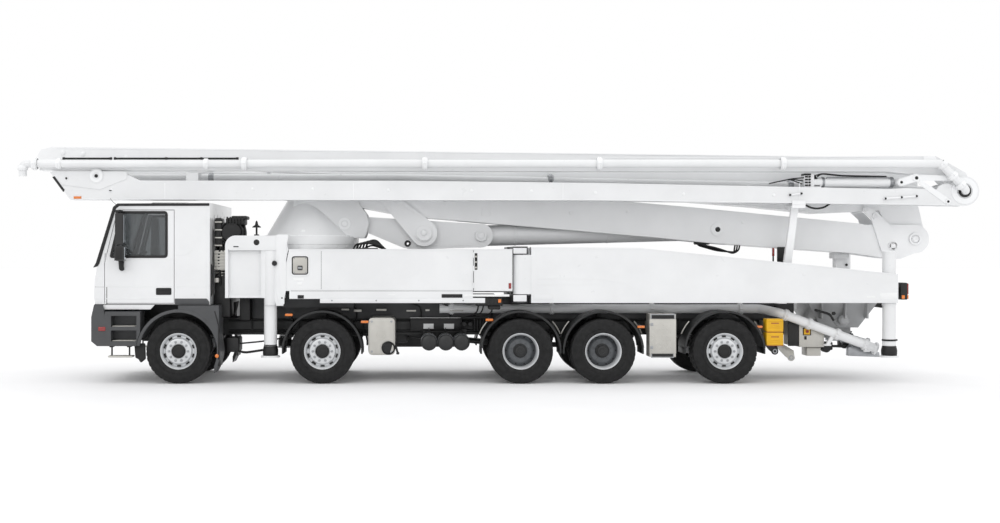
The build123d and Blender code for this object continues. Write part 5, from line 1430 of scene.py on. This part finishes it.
def section_3():
    """Third boom section, on the left side: flank trim, knee gear, hoses, lamp and fittings."""
    white = Shape()
    beads(white, [(-7.15, 3.052), (1.675, 3.037), (7.60, 2.955)], FLANK_3)
    beads(white, [(-6.02, 3.345), (-1.665, 3.345), (1.675, 3.307), (5.0, 3.238)], FLANK_3)
    for x, z in ((-6.483, 3.207), (-4.129, 3.224), (-3.127, 3.224), (-1.857, 3.207),
                 (-0.471, 3.199), (0.531, 3.190), (1.600, 3.165), (3.070, 3.140), (4.573, 3.123)):
        white.boss((x, FLANK_3, z), (0, -1, 0), 0.027, 0.006, 0.018, 0.011, 22)
    for x in (-5.6, -2.45, 1.05, 5.0):
        white.block((x, x + 0.012), (FLANK_3 - 0.003, FLANK_3), (3.045, 3.32), 0.001)
    white.ring((PIN_C.x, FLANK_3 - 0.024, PIN_C.z), "y", 0.060, 0.108, 0.010)
    white.ring((PIN_D.x, FLANK_3 - 0.006, PIN_D.z), "y", 0.130, 0.220, 0.016)
    for (x, z), r in zip(KNEE_3, (0.060, 0.050, 0.045, 0.040)):
        white.ring((x, FLANK_3 - 0.020, z), "y", r * 0.5, r, 0.014)
    white.block((4.885, 5.110), (-0.962, -0.540), (2.962, 2.975), 0.003)
    white.block((5.118, 5.225), (-0.836, -0.644), (3.262, 3.460), 0.010)
    white.prism(curved([(5.22, 3.27), (5.22, 3.49), (5.29, 3.49), (5.40, 3.36), (5.40, 3.27)],
                       0.02, 3), (-0.80, -0.68), 0.006)
    white.tube([(6.40, FLANK_3 - 0.03, 3.060), (6.97, FLANK_3 - 0.03, 3.105)], 0.016)
    white.tube([(4.82, FLANK_3 - 0.025, 3.120), (5.05, FLANK_3 - 0.025, 3.150)], 0.014)
    white.piece("section_3_trim", "boom", "boom_3")
    dark = Shape()
    dark.prism([(-7.455, 3.430), (-7.282, 3.195), (-7.262, 3.205), (-7.435, 3.440)],
               (-0.935, -0.545), 0.004)
    dark.prism([(-7.475, 3.425), (-7.290, 3.175), (-7.270, 3.190), (-7.440, 3.430)],
               (FLANK_3 - 0.006, FLANK_3 + 0.02), 0.003)
    dark.lathe((PIN_C.x, FLANK_3 - 0.026, PIN_C.z), (0, -1, 0), [
        (0, 0), (0.030, 0), (0.030, 0.004), (0.022, 0.008), (0, 0.008)], 20)
    dark.lathe((-7.232, FLANK_3 - 0.021, 3.401), (0, -1, 0), [
        (0, 0), (0.020, 0), (0.018, 0.006), (0, 0.006)], 16)
    dark.block((5.114, 5.232), (-0.838, -0.642), (3.455, 3.490), 0.010)
    dark.drum((5.310, -0.800, 3.352), "y", 0.020, 0.012)
    dark.tube([(5.14, -0.72, 2.985), (5.24, -0.72, 2.925), (5.36, -0.72, 2.900),
               (5.49, -0.72, 2.925), (5.58, -0.72, 2.985)], 0.016, 0.08, 8)
    for k in range(4):
        z = 3.29 + 0.048 * k
        dark.drum((5.20, -0.850, z), "y", 0.017, 0.04)
        dark.block((5.125, 5.175), (-0.846, -0.83), near(z, 0.015), 0.004)
    for k in range(3):
        dark.tube([(5.29, -0.80 + 0.05 * k, 3.45 - 0.05 * k), (5.42, -0.83 + 0.05 * k, 3.49),
                   (5.75, -0.83 + 0.05 * k, 3.455), (6.50, -0.82 + 0.05 * k, 3.44)],
                  0.010, 0.06, 8)
        dark.tube([(5.115, -0.80 + 0.05 * k, 3.42 - 0.05 * k), (4.9, -0.83 + 0.05 * k, 3.40),
                   (4.6, -0.60 + 0.02 * k, 3.335)], 0.010, 0.06, 8)
    for (x, z), r in zip(KNEE_3, (0.028, 0.022, 0.020, 0.018)):
        dark.lathe((x, FLANK_3 - 0.018, z), (0, -1, 0), [(0, 0), (r, 0), (r, 0.009),
                                                      (r * 0.7, 0.013), (0, 0.013)], 18)
    for x, z in ((6.43, 3.062), (6.70, 3.084), (6.95, 3.103), (4.84, 3.123), (5.03, 3.147)):
        dark.drum((x, FLANK_3 - 0.030, z), "y", 0.019, 0.036)
    dark.ring((PIN_D.x, FLANK_3 - 0.018, PIN_D.z), "y", 0.067, 0.105, 0.014)
    dark.block((-6.520, -6.478), (FLANK_3 - 0.022, FLANK_3), (3.190, 3.205), 0.004)
    dark.piece("section_3_dark_gear", "black", "boom_3")
    lamp = Shape()
    lamp.block((-7.115, -6.985), (FLANK_3 - 0.014, FLANK_3 + 0.01), (3.058, 3.102), 0.008)
    lamp.piece("boom_marker_lamp", "amber", "boom_3")
    rings = Shape()
    rings.ring((5.45, -0.740, 3.345), "x", 0.078, 0.088, 0.04)
    rings.ring((6.60, -0.740, 3.345), "x", 0.050, 0.090, 0.06)
    rings.tube([(5.50, -0.80, 3.40), (5.50, -0.80, 3.425), (6.55, -0.80, 3.425),
                (6.55, -0.80, 3.39)], 0.010, 0.02, 8)
    clamp(rings, (-4.9, -0.420, 3.441), (1, 0, 0))
    clamp(rings, (0.9, -0.420, 3.420), (1, 0, -0.01))
    clamp(rings, (5.0, -0.420, 3.31), (1, 0, -0.02))
    rings.piece("section_3_fittings", "steel", "boom_3")


def section_4():
    """Fourth boom section: pipe couplings, saddles, control line and the spigot's seal."""
    metal = Shape()
    y, z = TIP_PIPE_Y, TIP_PIPE_Z
    for x in (-7.735, -7.333, -4.885, -4.25, -1.25, 1.65, 4.70):
        clamp(metal, (x, y, z), "x", 0.0675 if x in (-7.333, -4.885) else 0.0865)
    for x, zz in ((7.357, 3.625), (7.527, 3.436), (7.663, 3.284)):
        clamp(metal, (x, y, zz), (0.69, 0, -0.72))
    metal.ring((-7.935, y, 3.585), "z", 0.066, 0.084, 0.05)
    metal.piece("section_4_couplings", "boom", "boom_4")
    white = Shape()
    beads(white, [(-7.5, 3.683), (6.30, 3.760)], -0.885)
    for x in (-6.5, -3.2, 0.2, 3.3, 6.0):
        white.block(near(x, 0.015), (y + 0.02, -0.885), near(z, 0.012), 0.004)
    white.prism([(7.09, 3.770), (7.28, 3.777), (7.33, 3.700), (7.28, 3.64), (7.10, 3.66)],
                (-0.895, -0.884), 0.004)
    white.piece("section_4_trim", "boom", "boom_4")
    hose = Shape()
    top = z + 0.0665 + 0.019
    for ends in ((-7.253, -6.470), (-6.400, -4.367)):
        hose.tube([(x, y, top) for x in ends], 0.017, 0.02)
    for x in (-7.253, -6.470, -6.400, -5.55, -4.964, -4.367):
        hose.ring((x, y, top), "x", 0.015, 0.023, 0.04)
    hose.piece("tip_control_line", "hose", "boom_4", ("end_hose",))
    Shape().ring((-7.935, y, 3.548), "z", 0.066, 0.082, 0.012).piece("spigot_seal", "tip", "boom_4")


def turret_parts():
    """Slewing ring, pin rings, bolts and hoses of the turret and of its base on the deck."""
    white = Shape()
    sx = SLEW.x
    white.ring((sx, 0, 2.448), "z", 0.755, 0.800, 0.024)
    for o in (-1, 1):
        white.ring((PIN_A.x, o * 0.352, PIN_A.z), "y", 0.072, 0.120, 0.016)
        white.ring((ROCKER.x, o * 0.352, ROCKER.z), "y", 0.062, 0.105, 0.016)
        white.block((-3.34, -3.27), pair(o, 0.60, 0.70), (2.47, 2.55), 0.012)
        beads(white, [(-3.50, 2.50), (-3.45, 3.05)], o * 0.346)
    white.piece("turret_trim", "boom", "turret")
    bolts = Shape()
    for a, b in (polar(0.820, angle) for angle in around(40)):
        bolts.bolt((sx + a, b, 2.436), (0, 0, 1), 0.012, 0.012)
    for o in (-1, 1):
        for pin, r in ((PIN_A, 0.055), (ROCKER, 0.048)):
            bolts.lathe((pin.x, o * 0.346, pin.z), (0, o, 0), [
                (0, 0), (r, 0), (r, 0.012), (r * 0.85, 0.017), (r * 0.3, 0.017), (0, 0.012)], 26)
    bolts.piece("turret_bolts", "boom", "turret")
    hoses = Shape()
    for k in range(5):
        y = -0.66 + 0.045 * k
        hoses.tube([(-2.46 + 0.05 * k, y, 2.22), (-2.42 + 0.05 * k, y, 2.30 + 0.014 * k),
                    (-2.20 + 0.03 * k, y, 2.325 + 0.014 * k), (-1.98, y, 2.27), (-1.90, y, 2.20)],
                   0.016, 0.07, 8)
    hoses.block((-2.40, -2.05), (-0.72, -0.45), (2.19, 2.24), 0.01)
    for k in range(4):
        y = 0.45 + 0.05 * k
        hoses.tube([(-2.40, y, 2.20), (-2.20, y, 2.30), (-1.95, y, 2.22)], 0.014, 0.07, 8)
    hoses.piece("deck_hoses", "hose")
    base = Shape()
    base.ring((sx, 0, 2.248), "z", 0.834, 0.850, 0.10)
    for a, b in (polar(1.0, angle) for angle in around(24, math.pi / 24)):
        base.bolt((sx + 0.849 * a, 0.849 * b, 2.262), (a, b, 0), 0.011, 0.008)
    base.piece("slewing_base_trim", "white")


def linkage():
    """Pin rings of the lift link and rocker, and the bands and hose of the lift cylinder."""
    white = Shape()
    head_x, head_z = LINK_HEAD
    for o in (-1, 1):
        white.ring((LINK.x, o * 0.366, LINK.z), "y", 0.062, 0.135, 0.014)
        white.ring((head_x, o * 0.362, head_z), "y", 0.034, 0.060, 0.012)
    white.piece("link_rings", "boom", "lift_link")
    pins = Shape()
    for o in (-1, 1):
        for x, z, r, y in ((LINK.x, LINK.z, 0.050, 0.356), (head_x, head_z, 0.030, 0.355)):
            pins.lathe((x, o * y, z), (0, o, 0), [(0, 0), (r, 0), (r, 0.014), (r * 0.8, 0.020),
                                                  (0, 0.018)], 26)
    pins.piece("link_pins", "boom", "lift_link")
    rocker = Shape()
    for o in (-1, 1):
        rocker.ring((BARREL.x, o * 0.262, BARREL.z), "y", 0.062, 0.100, 0.030)
        beads(rocker, [(-1.60, 2.262), (-0.45, 2.290)], o * 0.240)
        rocker.drum((BARREL.x, o * 0.272, BARREL.z), "y", 0.045, 0.012)
        rocker.ring((-1.546, o * 0.243, 2.319), "y", 0.041, 0.066, 0.008)
    rocker.piece("rocker_trim", "boom", "lift_rocker")
    ring = Shape()
    for o in (-1, 1):
        ring.ring((-1.546, o * 0.247, 2.319), "y", 0.022, 0.056, 0.014)
    ring.piece("rocker_dark_rings", "black", "lift_rocker")
    barrel = Shape()
    foot = Vector((BARREL.x, 0, BARREL.z))
    along = (ROD_EYE - foot).normalized()
    for at, r0, r1, length in ((3.63, 0.100, 0.188, 0.10), (3.50, 0.178, 0.184, 0.03),
                               (0.60, 0.178, 0.185, 0.04), (2.2, 0.178, 0.184, 0.04)):
        barrel.ring(foot + along * at, along, r0, r1, length, 0.006, 44)
    up = Vector((-along.z, 0, along.x))
    foot.y = -0.06
    barrel.tube([foot + along * at + up * height for at, height in (
        (0.45, 0.19), (0.55, 0.205), (3.40, 0.205), (3.52, 0.185))], 0.016, 0.03, 10)
    barrel.piece("cylinder_rings", "boom", "lift_barrel")


section_1()
section_2()
section_3()
section_4()
turret_parts()
linkage()


# ---------------------------------------------------------------- behind the cab and the rear
def intake():
    """Air cleaner drum, snorkel, coolers and hoses in the space behind the cab."""
    x0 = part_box("air_intake")[0].x
    black = Shape()
    black.block((x0, x0 + 0.12), (-0.52, 0.52), (1.04, 2.56), 0.03)
    black.block((x0 + 0.10, x0 + 0.24), (-0.46, 0.46), (1.30, 2.40), 0.03)
    for k in range(12):
        z = 1.36 + 0.085 * k
        black.block((x0 + 0.235, x0 + 0.25), (-0.42, 0.42), (z, z + 0.045), 0.006)
    black.drum((x0 + 0.30, -0.745, 2.500), "y", 0.185, 0.40, 0.03, 40)
    for y in (-0.93, -0.82, -0.70, -0.58):
        black.ring((x0 + 0.30, y, 2.500), "y", 0.18, 0.195, 0.022)
    black.block((x0 + 0.02, x0 + 0.14), (-0.96, -0.60), (2.28, 2.74), 0.03)
    black.block((x0 + 0.20, x0 + 0.52), (-0.92, -0.58), (2.62, 2.745), 0.03)
    black.block((x0 + 0.30, x0 + 0.56), (-0.955, -0.60), (2.715, 2.775), 0.02)
    for k in range(6):
        black.block((x0 + 0.22 + 0.05 * k, x0 + 0.245 + 0.05 * k), (-0.955, -0.92),
                    (2.63, 2.76), 0.006)
    black.tube([(x0 + 0.38, -0.80, 2.36), (x0 + 0.46, -0.80, 2.26), (x0 + 0.42, -0.72, 2.05),
                (x0 + 0.22, -0.55, 1.90), (x0 + 0.12, -0.40, 1.80)], 0.055, 0.12, 16)
    black.tube([(x0 + 0.10, -0.90, 2.74), (x0 + 0.16, -0.92, 2.40), (x0 + 0.08, -0.93, 2.10),
                (x0 + 0.12, -0.90, 1.60), (x0 + 0.10, -0.60, 1.25)], 0.022, 0.12, 10)
    black.tube([(x0 + 0.05, -0.80, 2.72), (x0 + 0.10, -0.95, 2.55), (x0 + 0.14, -0.94, 2.30),
                (x0 + 0.20, -0.90, 2.0)], 0.018, 0.10, 10)
    black.tube([(x0 + 0.50, -0.84, 2.62), (x0 + 0.54, -0.90, 2.48), (x0 + 0.50, -0.90, 2.30),
                (x0 + 0.36, -0.80, 2.16)], 0.020, 0.10, 10)
    for o in (-1, 1):
        black.tube([(x0 + 0.16, o * 0.30, 1.05), (x0 + 0.18, o * 0.62, 1.30),
                    (x0 + 0.12, o * 0.66, 1.9), (x0 + 0.10, o * 0.5, 2.3)], 0.03, 0.12, 12)
    black.block((x0 + 0.01, x0 + 0.28), (-0.90, -0.52), (1.08, 1.80), 0.04)
    black.piece("intake_gear", "black", stands_for=("air_intake",))
    grey = Shape()
    for k in range(6):
        grey.ring((x0 + 0.115, -0.80, 1.78 + 0.045 * k), "z", 0.07, 0.10, 0.022)
    grey.block((x0 + 0.02, x0 + 0.26), (-0.94, -0.70), (1.87, 2.20), 0.012)
    for k in range(6):
        grey.block((x0 + 0.015, x0 + 0.265), (-0.952, -0.935),
                   (1.885 + 0.052 * k, 1.915 + 0.052 * k), 0.006)
    grey.block((x0 + 0.02, x0 + 0.10), (-0.98, -0.80), (1.66, 1.74), 0.02)
    for k in range(4):
        grey.tube([(x0 + 0.03, -0.97, 2.28 + 0.13 * k), (x0 + 0.15, -0.975, 2.28 + 0.13 * k)],
                  0.012, 0.02, 8)
    grey.piece("intake_bellows", "galv")
    cap = Shape()
    cap.tube([(-4.090, -0.70, 2.46), (-4.090, -0.70, 2.62)], 0.016)
    cap.lathe((-4.090, -0.70, 2.585), "z", [(0.016, 0.0), (0.075, 0.0), (0.070, 0.014),
                                            (0.030, 0.042), (0.016, 0.10), (0, 0.12)], 26)
    cap.block((-4.13, -4.05), (-0.74, -0.66), (2.40, 2.47), 0.01)
    cap.tube([(-4.09, -0.70, 2.42), (-4.09, -0.62, 2.32), (-4.02, -0.45, 2.28)], 0.02)
    cap.piece("breather_cap", "black")


TOW_EYES = {"near": (4.72, 0.480), "far": (5.00, 0.372)}


def hopper_parts():
    """Hopper rim and grid, dark gear under it and the pump's outlet."""
    top = 1.500
    white = Shape()
    for o in (-1, 1):
        white.block((5.11, 6.52), pair(o, 0.735, 0.775), (top - 0.05, top + 0.012), 0.008)
        for x in (5.45, 5.85, 6.22):
            white.prism([(x - 0.012, 1.47), (x + 0.012, 1.47), (x + 0.012, 1.05),
                         (x - 0.012, 1.05)], pair(o, 0.56, 0.735), 0.003)
        white.lathe((5.85, o * 0.46, 1.02), (0, o, 0), [
            (0.0, 0.0), (0.13, 0.0), (0.13, 0.05), (0.09, 0.07), (0.09, 0.17), (0.06, 0.20),
            (0, 0.20)], 32)
    for x in (5.115, 6.51):
        white.block(near(x, 0.02), (-0.77, 0.77), (top - 0.05, top + 0.012), 0.008)
    # the rim takes the hopper's grey, painted shade over its white paint
    white.piece("hopper_rim", "hopper_shade")
    grid = Shape()
    for k in range(13):
        x = 5.21 + 0.102 * k
        grid.block(near(x, 0.006), (-0.735, 0.735), (top - 0.045, top - 0.005), 0.002)
    for y in (-0.45, -0.15, 0.15, 0.45):
        grid.tube([(5.13, y, top - 0.025), (6.50, y, top - 0.025)], 0.009, 0.02, 8)
    grid.piece("hopper_grid", "steel")
    dark = Shape()
    dark.block((6.536, 6.552), (-0.70, 0.70), (1.22, 1.49), 0.004)
    dark.tube([(5.30, -0.80, 1.20), (5.55, -0.82, 1.13), (5.62, -0.80, 1.02)], 0.02)
    dark.drum((5.62, -0.80, 1.14), "y", 0.03, 0.05)
    for k in range(4):
        dark.tube([(4.70, -0.50 + 0.04 * k, 1.25), (5.00, -0.54 + 0.04 * k, 1.10),
                   (5.25, -0.50 + 0.04 * k, 0.95), (5.36, -0.42, 0.85)], 0.016, 0.10, 8)
    dark.block((5.36, 5.70), (-0.52, -0.335), (0.50, 0.64), 0.02)
    dark.block((5.90, 6.05), (-0.42, -0.335), (0.52, 0.68), 0.02)
    dark.drum((5.55, -0.58, 0.54), "y", 0.07, 0.14)
    dark.tube([(5.05, -0.55, 0.62), (5.45, -0.56, 0.57), (5.95, -0.50, 0.57)], 0.022, 0.1)
    dark.piece("hopper_dark_gear", "black")
    metal = Shape()
    metal.lathe((6.30, -0.40, 0.60), (1, 0, -0.28), [
        (0.0, -0.42), (0.09, -0.42), (0.09, -0.30), (0.115, -0.30), (0.115, -0.27),
        (0.085, -0.26), (0.085, 0.0), (0.11, 0.0), (0.11, 0.03), (0, 0.03)], 32)
    metal.block((5.62, 6.20), (-0.46, -0.335), (0.655, 0.70), 0.01)
    metal.prism([(5.89, 0.56), (5.96, 0.60), (6.42, 0.48), (6.42, 0.40), (5.89, 0.42)],
                (-0.72, -0.60), 0.008)
    metal.prism([(5.92, 0.66), (6.02, 0.76), (6.06, 0.74), (5.98, 0.60)], (-0.80, -0.74), 0.006)
    metal.piece("pump_outlet", "steel")


def control_cabinet():
    """Stainless cabinet at the rear with a dark sheet of painted shade on its box, switch plate,
    knob and lock.
    """
    stainless = Shape()
    stainless.prism([(5.040, 0.574), (5.040, 0.995), (5.462, 0.845), (5.462, 0.574)],
                    (-0.800, -0.520), 0.010)
    checker(stainless, (5.052, 5.452), (0.585, 0.845), -0.8005, 0.045)
    stainless.block((5.21, 5.45), (-0.66, -0.36), (0.415, 0.560), 0.012)
    stainless.piece("control_cabinet_door", "galv")
    # dark sheet over the front of the cabinet's box: painted shade
    shade = Shape()
    shade.block((4.860, 5.290), (-0.786, -0.762), (0.590, 1.040), 0.006)
    shade.piece("control_cabinet_painted_shade", "black")
    plate = Shape()
    plate.block((5.118, 5.222), (-0.812, -0.798), (0.785, 0.885), 0.006)
    plate.piece("switch_plate", "yellow")
    knob = Shape()
    knob.drum((5.170, -0.822, 0.838), "y", 0.026, 0.02)
    knob.block((5.161, 5.179), (-0.848, -0.824), (0.812, 0.864), 0.004)
    knob.piece("switch_knob", "red")
    lock = Shape()
    lock.block((5.125, 5.165), (-0.812, -0.798), (0.700, 0.760), 0.006)
    lock.block((5.100, 5.240), (-0.803, -0.796), (0.770, 0.900), 0.004)
    lock.piece("cabinet_lock", "black")


def towing_eyes():
    """Both towing eyes with the bright rings in them."""
    for name, finish, length in (("near", "rail", 0.30), ("far", "galv", 0.34)):
        eye = Shape()
        x, z = TOW_EYES[name]
        arc = [(x + a, z + b) for a, b in (polar(0.060, math.radians(30 - 20 * k))
                                           for k in range(11))]
        eye.prism([(x - length, z + 0.27), (x - length + 0.08, z + 0.30), (x + 0.04, z + 0.12)]
                  + arc + [(x - 0.10, z + 0.02)], (-0.49, -0.46), 0.004)
        eye.piece("towing_eye_" + name, finish)
    hole = Shape()
    for x, z in TOW_EYES.values():
        hole.ring((x, -0.475, z), "y", 0.022, 0.040, 0.036)
    hole.piece("towing_eye_rings", "steel")


def delivery_parts():
    """Couplings and stays of the delivery line, and the bands of the pump cylinders."""
    metal = Shape()
    low, high = Vector((6.317, -0.86, 0.55)), Vector((4.70, -0.86, 1.15))
    down = (low - high).normalized()
    for t in (0.10, 0.52, 1.02, 1.52):
        clamp(metal, high + down * t, down, 0.077)
    for x in (-0.80, 0.90, 2.60, 4.10):
        clamp(metal, (x, -0.590, 1.210), "x", 0.077)
    metal.ring(low - down * 0.02, down, 0.06, 0.105, 0.035)
    metal.piece("delivery_couplings", "white")
    stay = Shape()
    stay.prism([(5.465, 0.615), (5.530, 0.615), (5.640, 0.800), (5.580, 0.825)], (-0.88, -0.83),
               0.006)
    stay.block((5.44, 5.56), (-0.88, -0.60), (0.600, 0.625), 0.008)
    stay.block((6.10, 6.20), (-0.90, -0.82), (0.50, 0.62), 0.012)
    stay.piece("delivery_stays", "white")
    pump = Shape()
    for o in (-1, 1):
        a, b = Vector((2.9, o * 0.17, 1.64)), Vector((5.15, o * 0.17, 1.30))
        d = (b - a).normalized()
        for t in (0.03, 0.55, 1.10, 1.65, 2.2):
            pump.ring(a + d * t, d, 0.109, 0.125, 0.04, 0.004, 36)
    pump.piece("pump_rings", "galv")


def rear_rest():
    """Pads, lamp and posts of the boom rest, and the bare plate on the hopper."""
    dark = Shape()
    for o in (-1, 1):
        dark.drum((6.07, o * 0.105, 1.95), "y", 0.022, 0.02)
    dark.block((5.86, 6.10), (-0.15, 0.15), (2.135, 2.142), 0.002)
    dark.block((4.80, 4.965), (-0.42, -0.30), (2.00, 2.26), 0.02)
    dark.tube([(4.726, -0.36, 1.42), (4.726, -0.36, 2.10)], 0.014)
    dark.tube([(4.88, -0.36, 1.42), (4.88, -0.36, 2.02)], 0.018)
    dark.piece("rear_rest_gear", "black")
    Shape().block((4.706, 4.746), (-0.385, -0.335), (2.10, 2.245), 0.012).piece("rest_lamp", "red")
    plate = Shape()
    plate.block((6.550, 6.560), (-0.26, 0.26), (1.30, 1.42), 0.004)
    plate.piece("rear_plate_blank", "label")


intake()
hopper_parts()
control_cabinet()
towing_eyes()
delivery_parts()
rear_rest()


# ---------------------------------------------------------------- stage
VIEW_FROM = (-1.281, -21.94, 2.138)
VIEW_LENS = 45.29
VIEW_SHIFT = (0.077, -0.0075)
FLOOR_HALF = 150.0
FLOOR_GLOW = 0.03
WORLD_LIGHT = 0.84
SUNS = (  # name, place, spread in degrees, strength
    ("key", (-8, -16, 14), 35, 0.42), ("fill", (12, -14, 10), 45, 0.20),
    ("top", (0, 0, 18), 70, 0.60), ("back", (0, 16, 10), 50, 0.20))


def camera():
    """The photograph's viewpoint: level, square to the left side."""
    seen = bpy.data.objects.new("camera", bpy.data.cameras.new("camera"))
    bpy.context.scene.collection.objects.link(seen)
    seen.location = VIEW_FROM
    seen.rotation_euler = (math.radians(90), 0, 0)
    seen.data.sensor_width = 36.0
    seen.data.lens = VIEW_LENS
    seen.data.shift_x, seen.data.shift_y = VIEW_SHIFT
    seen.data.clip_end = 300.0
    bpy.context.scene.camera = seen


def floor():
    """Pale floor that keeps the truck's shadow."""
    mesh = bpy.data.meshes.new("floor")
    r = FLOOR_HALF
    mesh.from_pydata([(-r, -r, 0), (r, -r, 0), (r, r, 0), (-r, r, 0)], [], [(0, 1, 2, 3)])
    obj = bpy.data.objects.new("floor", mesh)
    bpy.context.scene.collection.objects.link(obj)
    n = Nodes("studio_floor")
    tone = n.ramp(n.noise(0.4, 3.0), (0.3, srgb((240, 240, 241))), (0.7, srgb((244, 244, 245))))
    n.shader.inputs["Emission Color"].default_value = (1, 1, 1, 1)
    n.shader.inputs["Emission Strength"].default_value = FLOOR_GLOW
    mesh.materials.append(n.finish(tone, Roughness=0.9, Specular_IOR_Level=0.1))


def lamps():
    """Soft suns that all shine towards the truck."""
    for name, place, spread, power in SUNS:
        lamp = bpy.data.lights.new(name, "SUN")
        lamp.angle = math.radians(spread)
        lamp.energy = power
        obj = bpy.data.objects.new(name, lamp)
        obj.location = place
        aim = Vector((0, 0, 1.5)) - Vector(place)
        obj.rotation_euler = aim.to_track_quat("-Z", "Y").to_euler()
        bpy.context.scene.collection.objects.link(obj)


def world():
    """Even light from all round; the camera, metal and glass see a white backdrop."""
    sky = bpy.data.worlds.new("studio")
    bpy.context.scene.world = sky
    sky.use_nodes = True
    tree = sky.node_tree
    blend = tree.nodes.new("ShaderNodeMixShader")
    backdrop = tree.nodes.new("ShaderNodeBackground")
    both = ((tree.nodes["Background"], WORLD_LIGHT), (backdrop, 1.0))
    for slot, (lit, strength) in enumerate(both):
        lit.inputs["Color"].default_value = (1, 1, 1, 1)
        lit.inputs["Strength"].default_value = strength
        tree.links.new(lit.outputs["Background"], blend.inputs[slot + 1])
    path = tree.nodes.new("ShaderNodeLightPath")
    direct = path.outputs["Is Camera Ray"]
    for kind in ("Is Glossy Ray", "Is Transmission Ray"):
        either = tree.nodes.new("ShaderNodeMath")
        either.operation = "MAXIMUM"
        tree.links.new(direct, either.inputs[0])
        tree.links.new(path.outputs[kind], either.inputs[1])
        direct = either.outputs["Value"]
    tree.links.new(direct, blend.inputs["Fac"])
    tree.links.new(blend.outputs["Shader"], tree.nodes["World Output"].inputs["Surface"])


camera()
floor()
lamps()
world()
bpy.context.scene.view_settings.view_transform = "Standard"
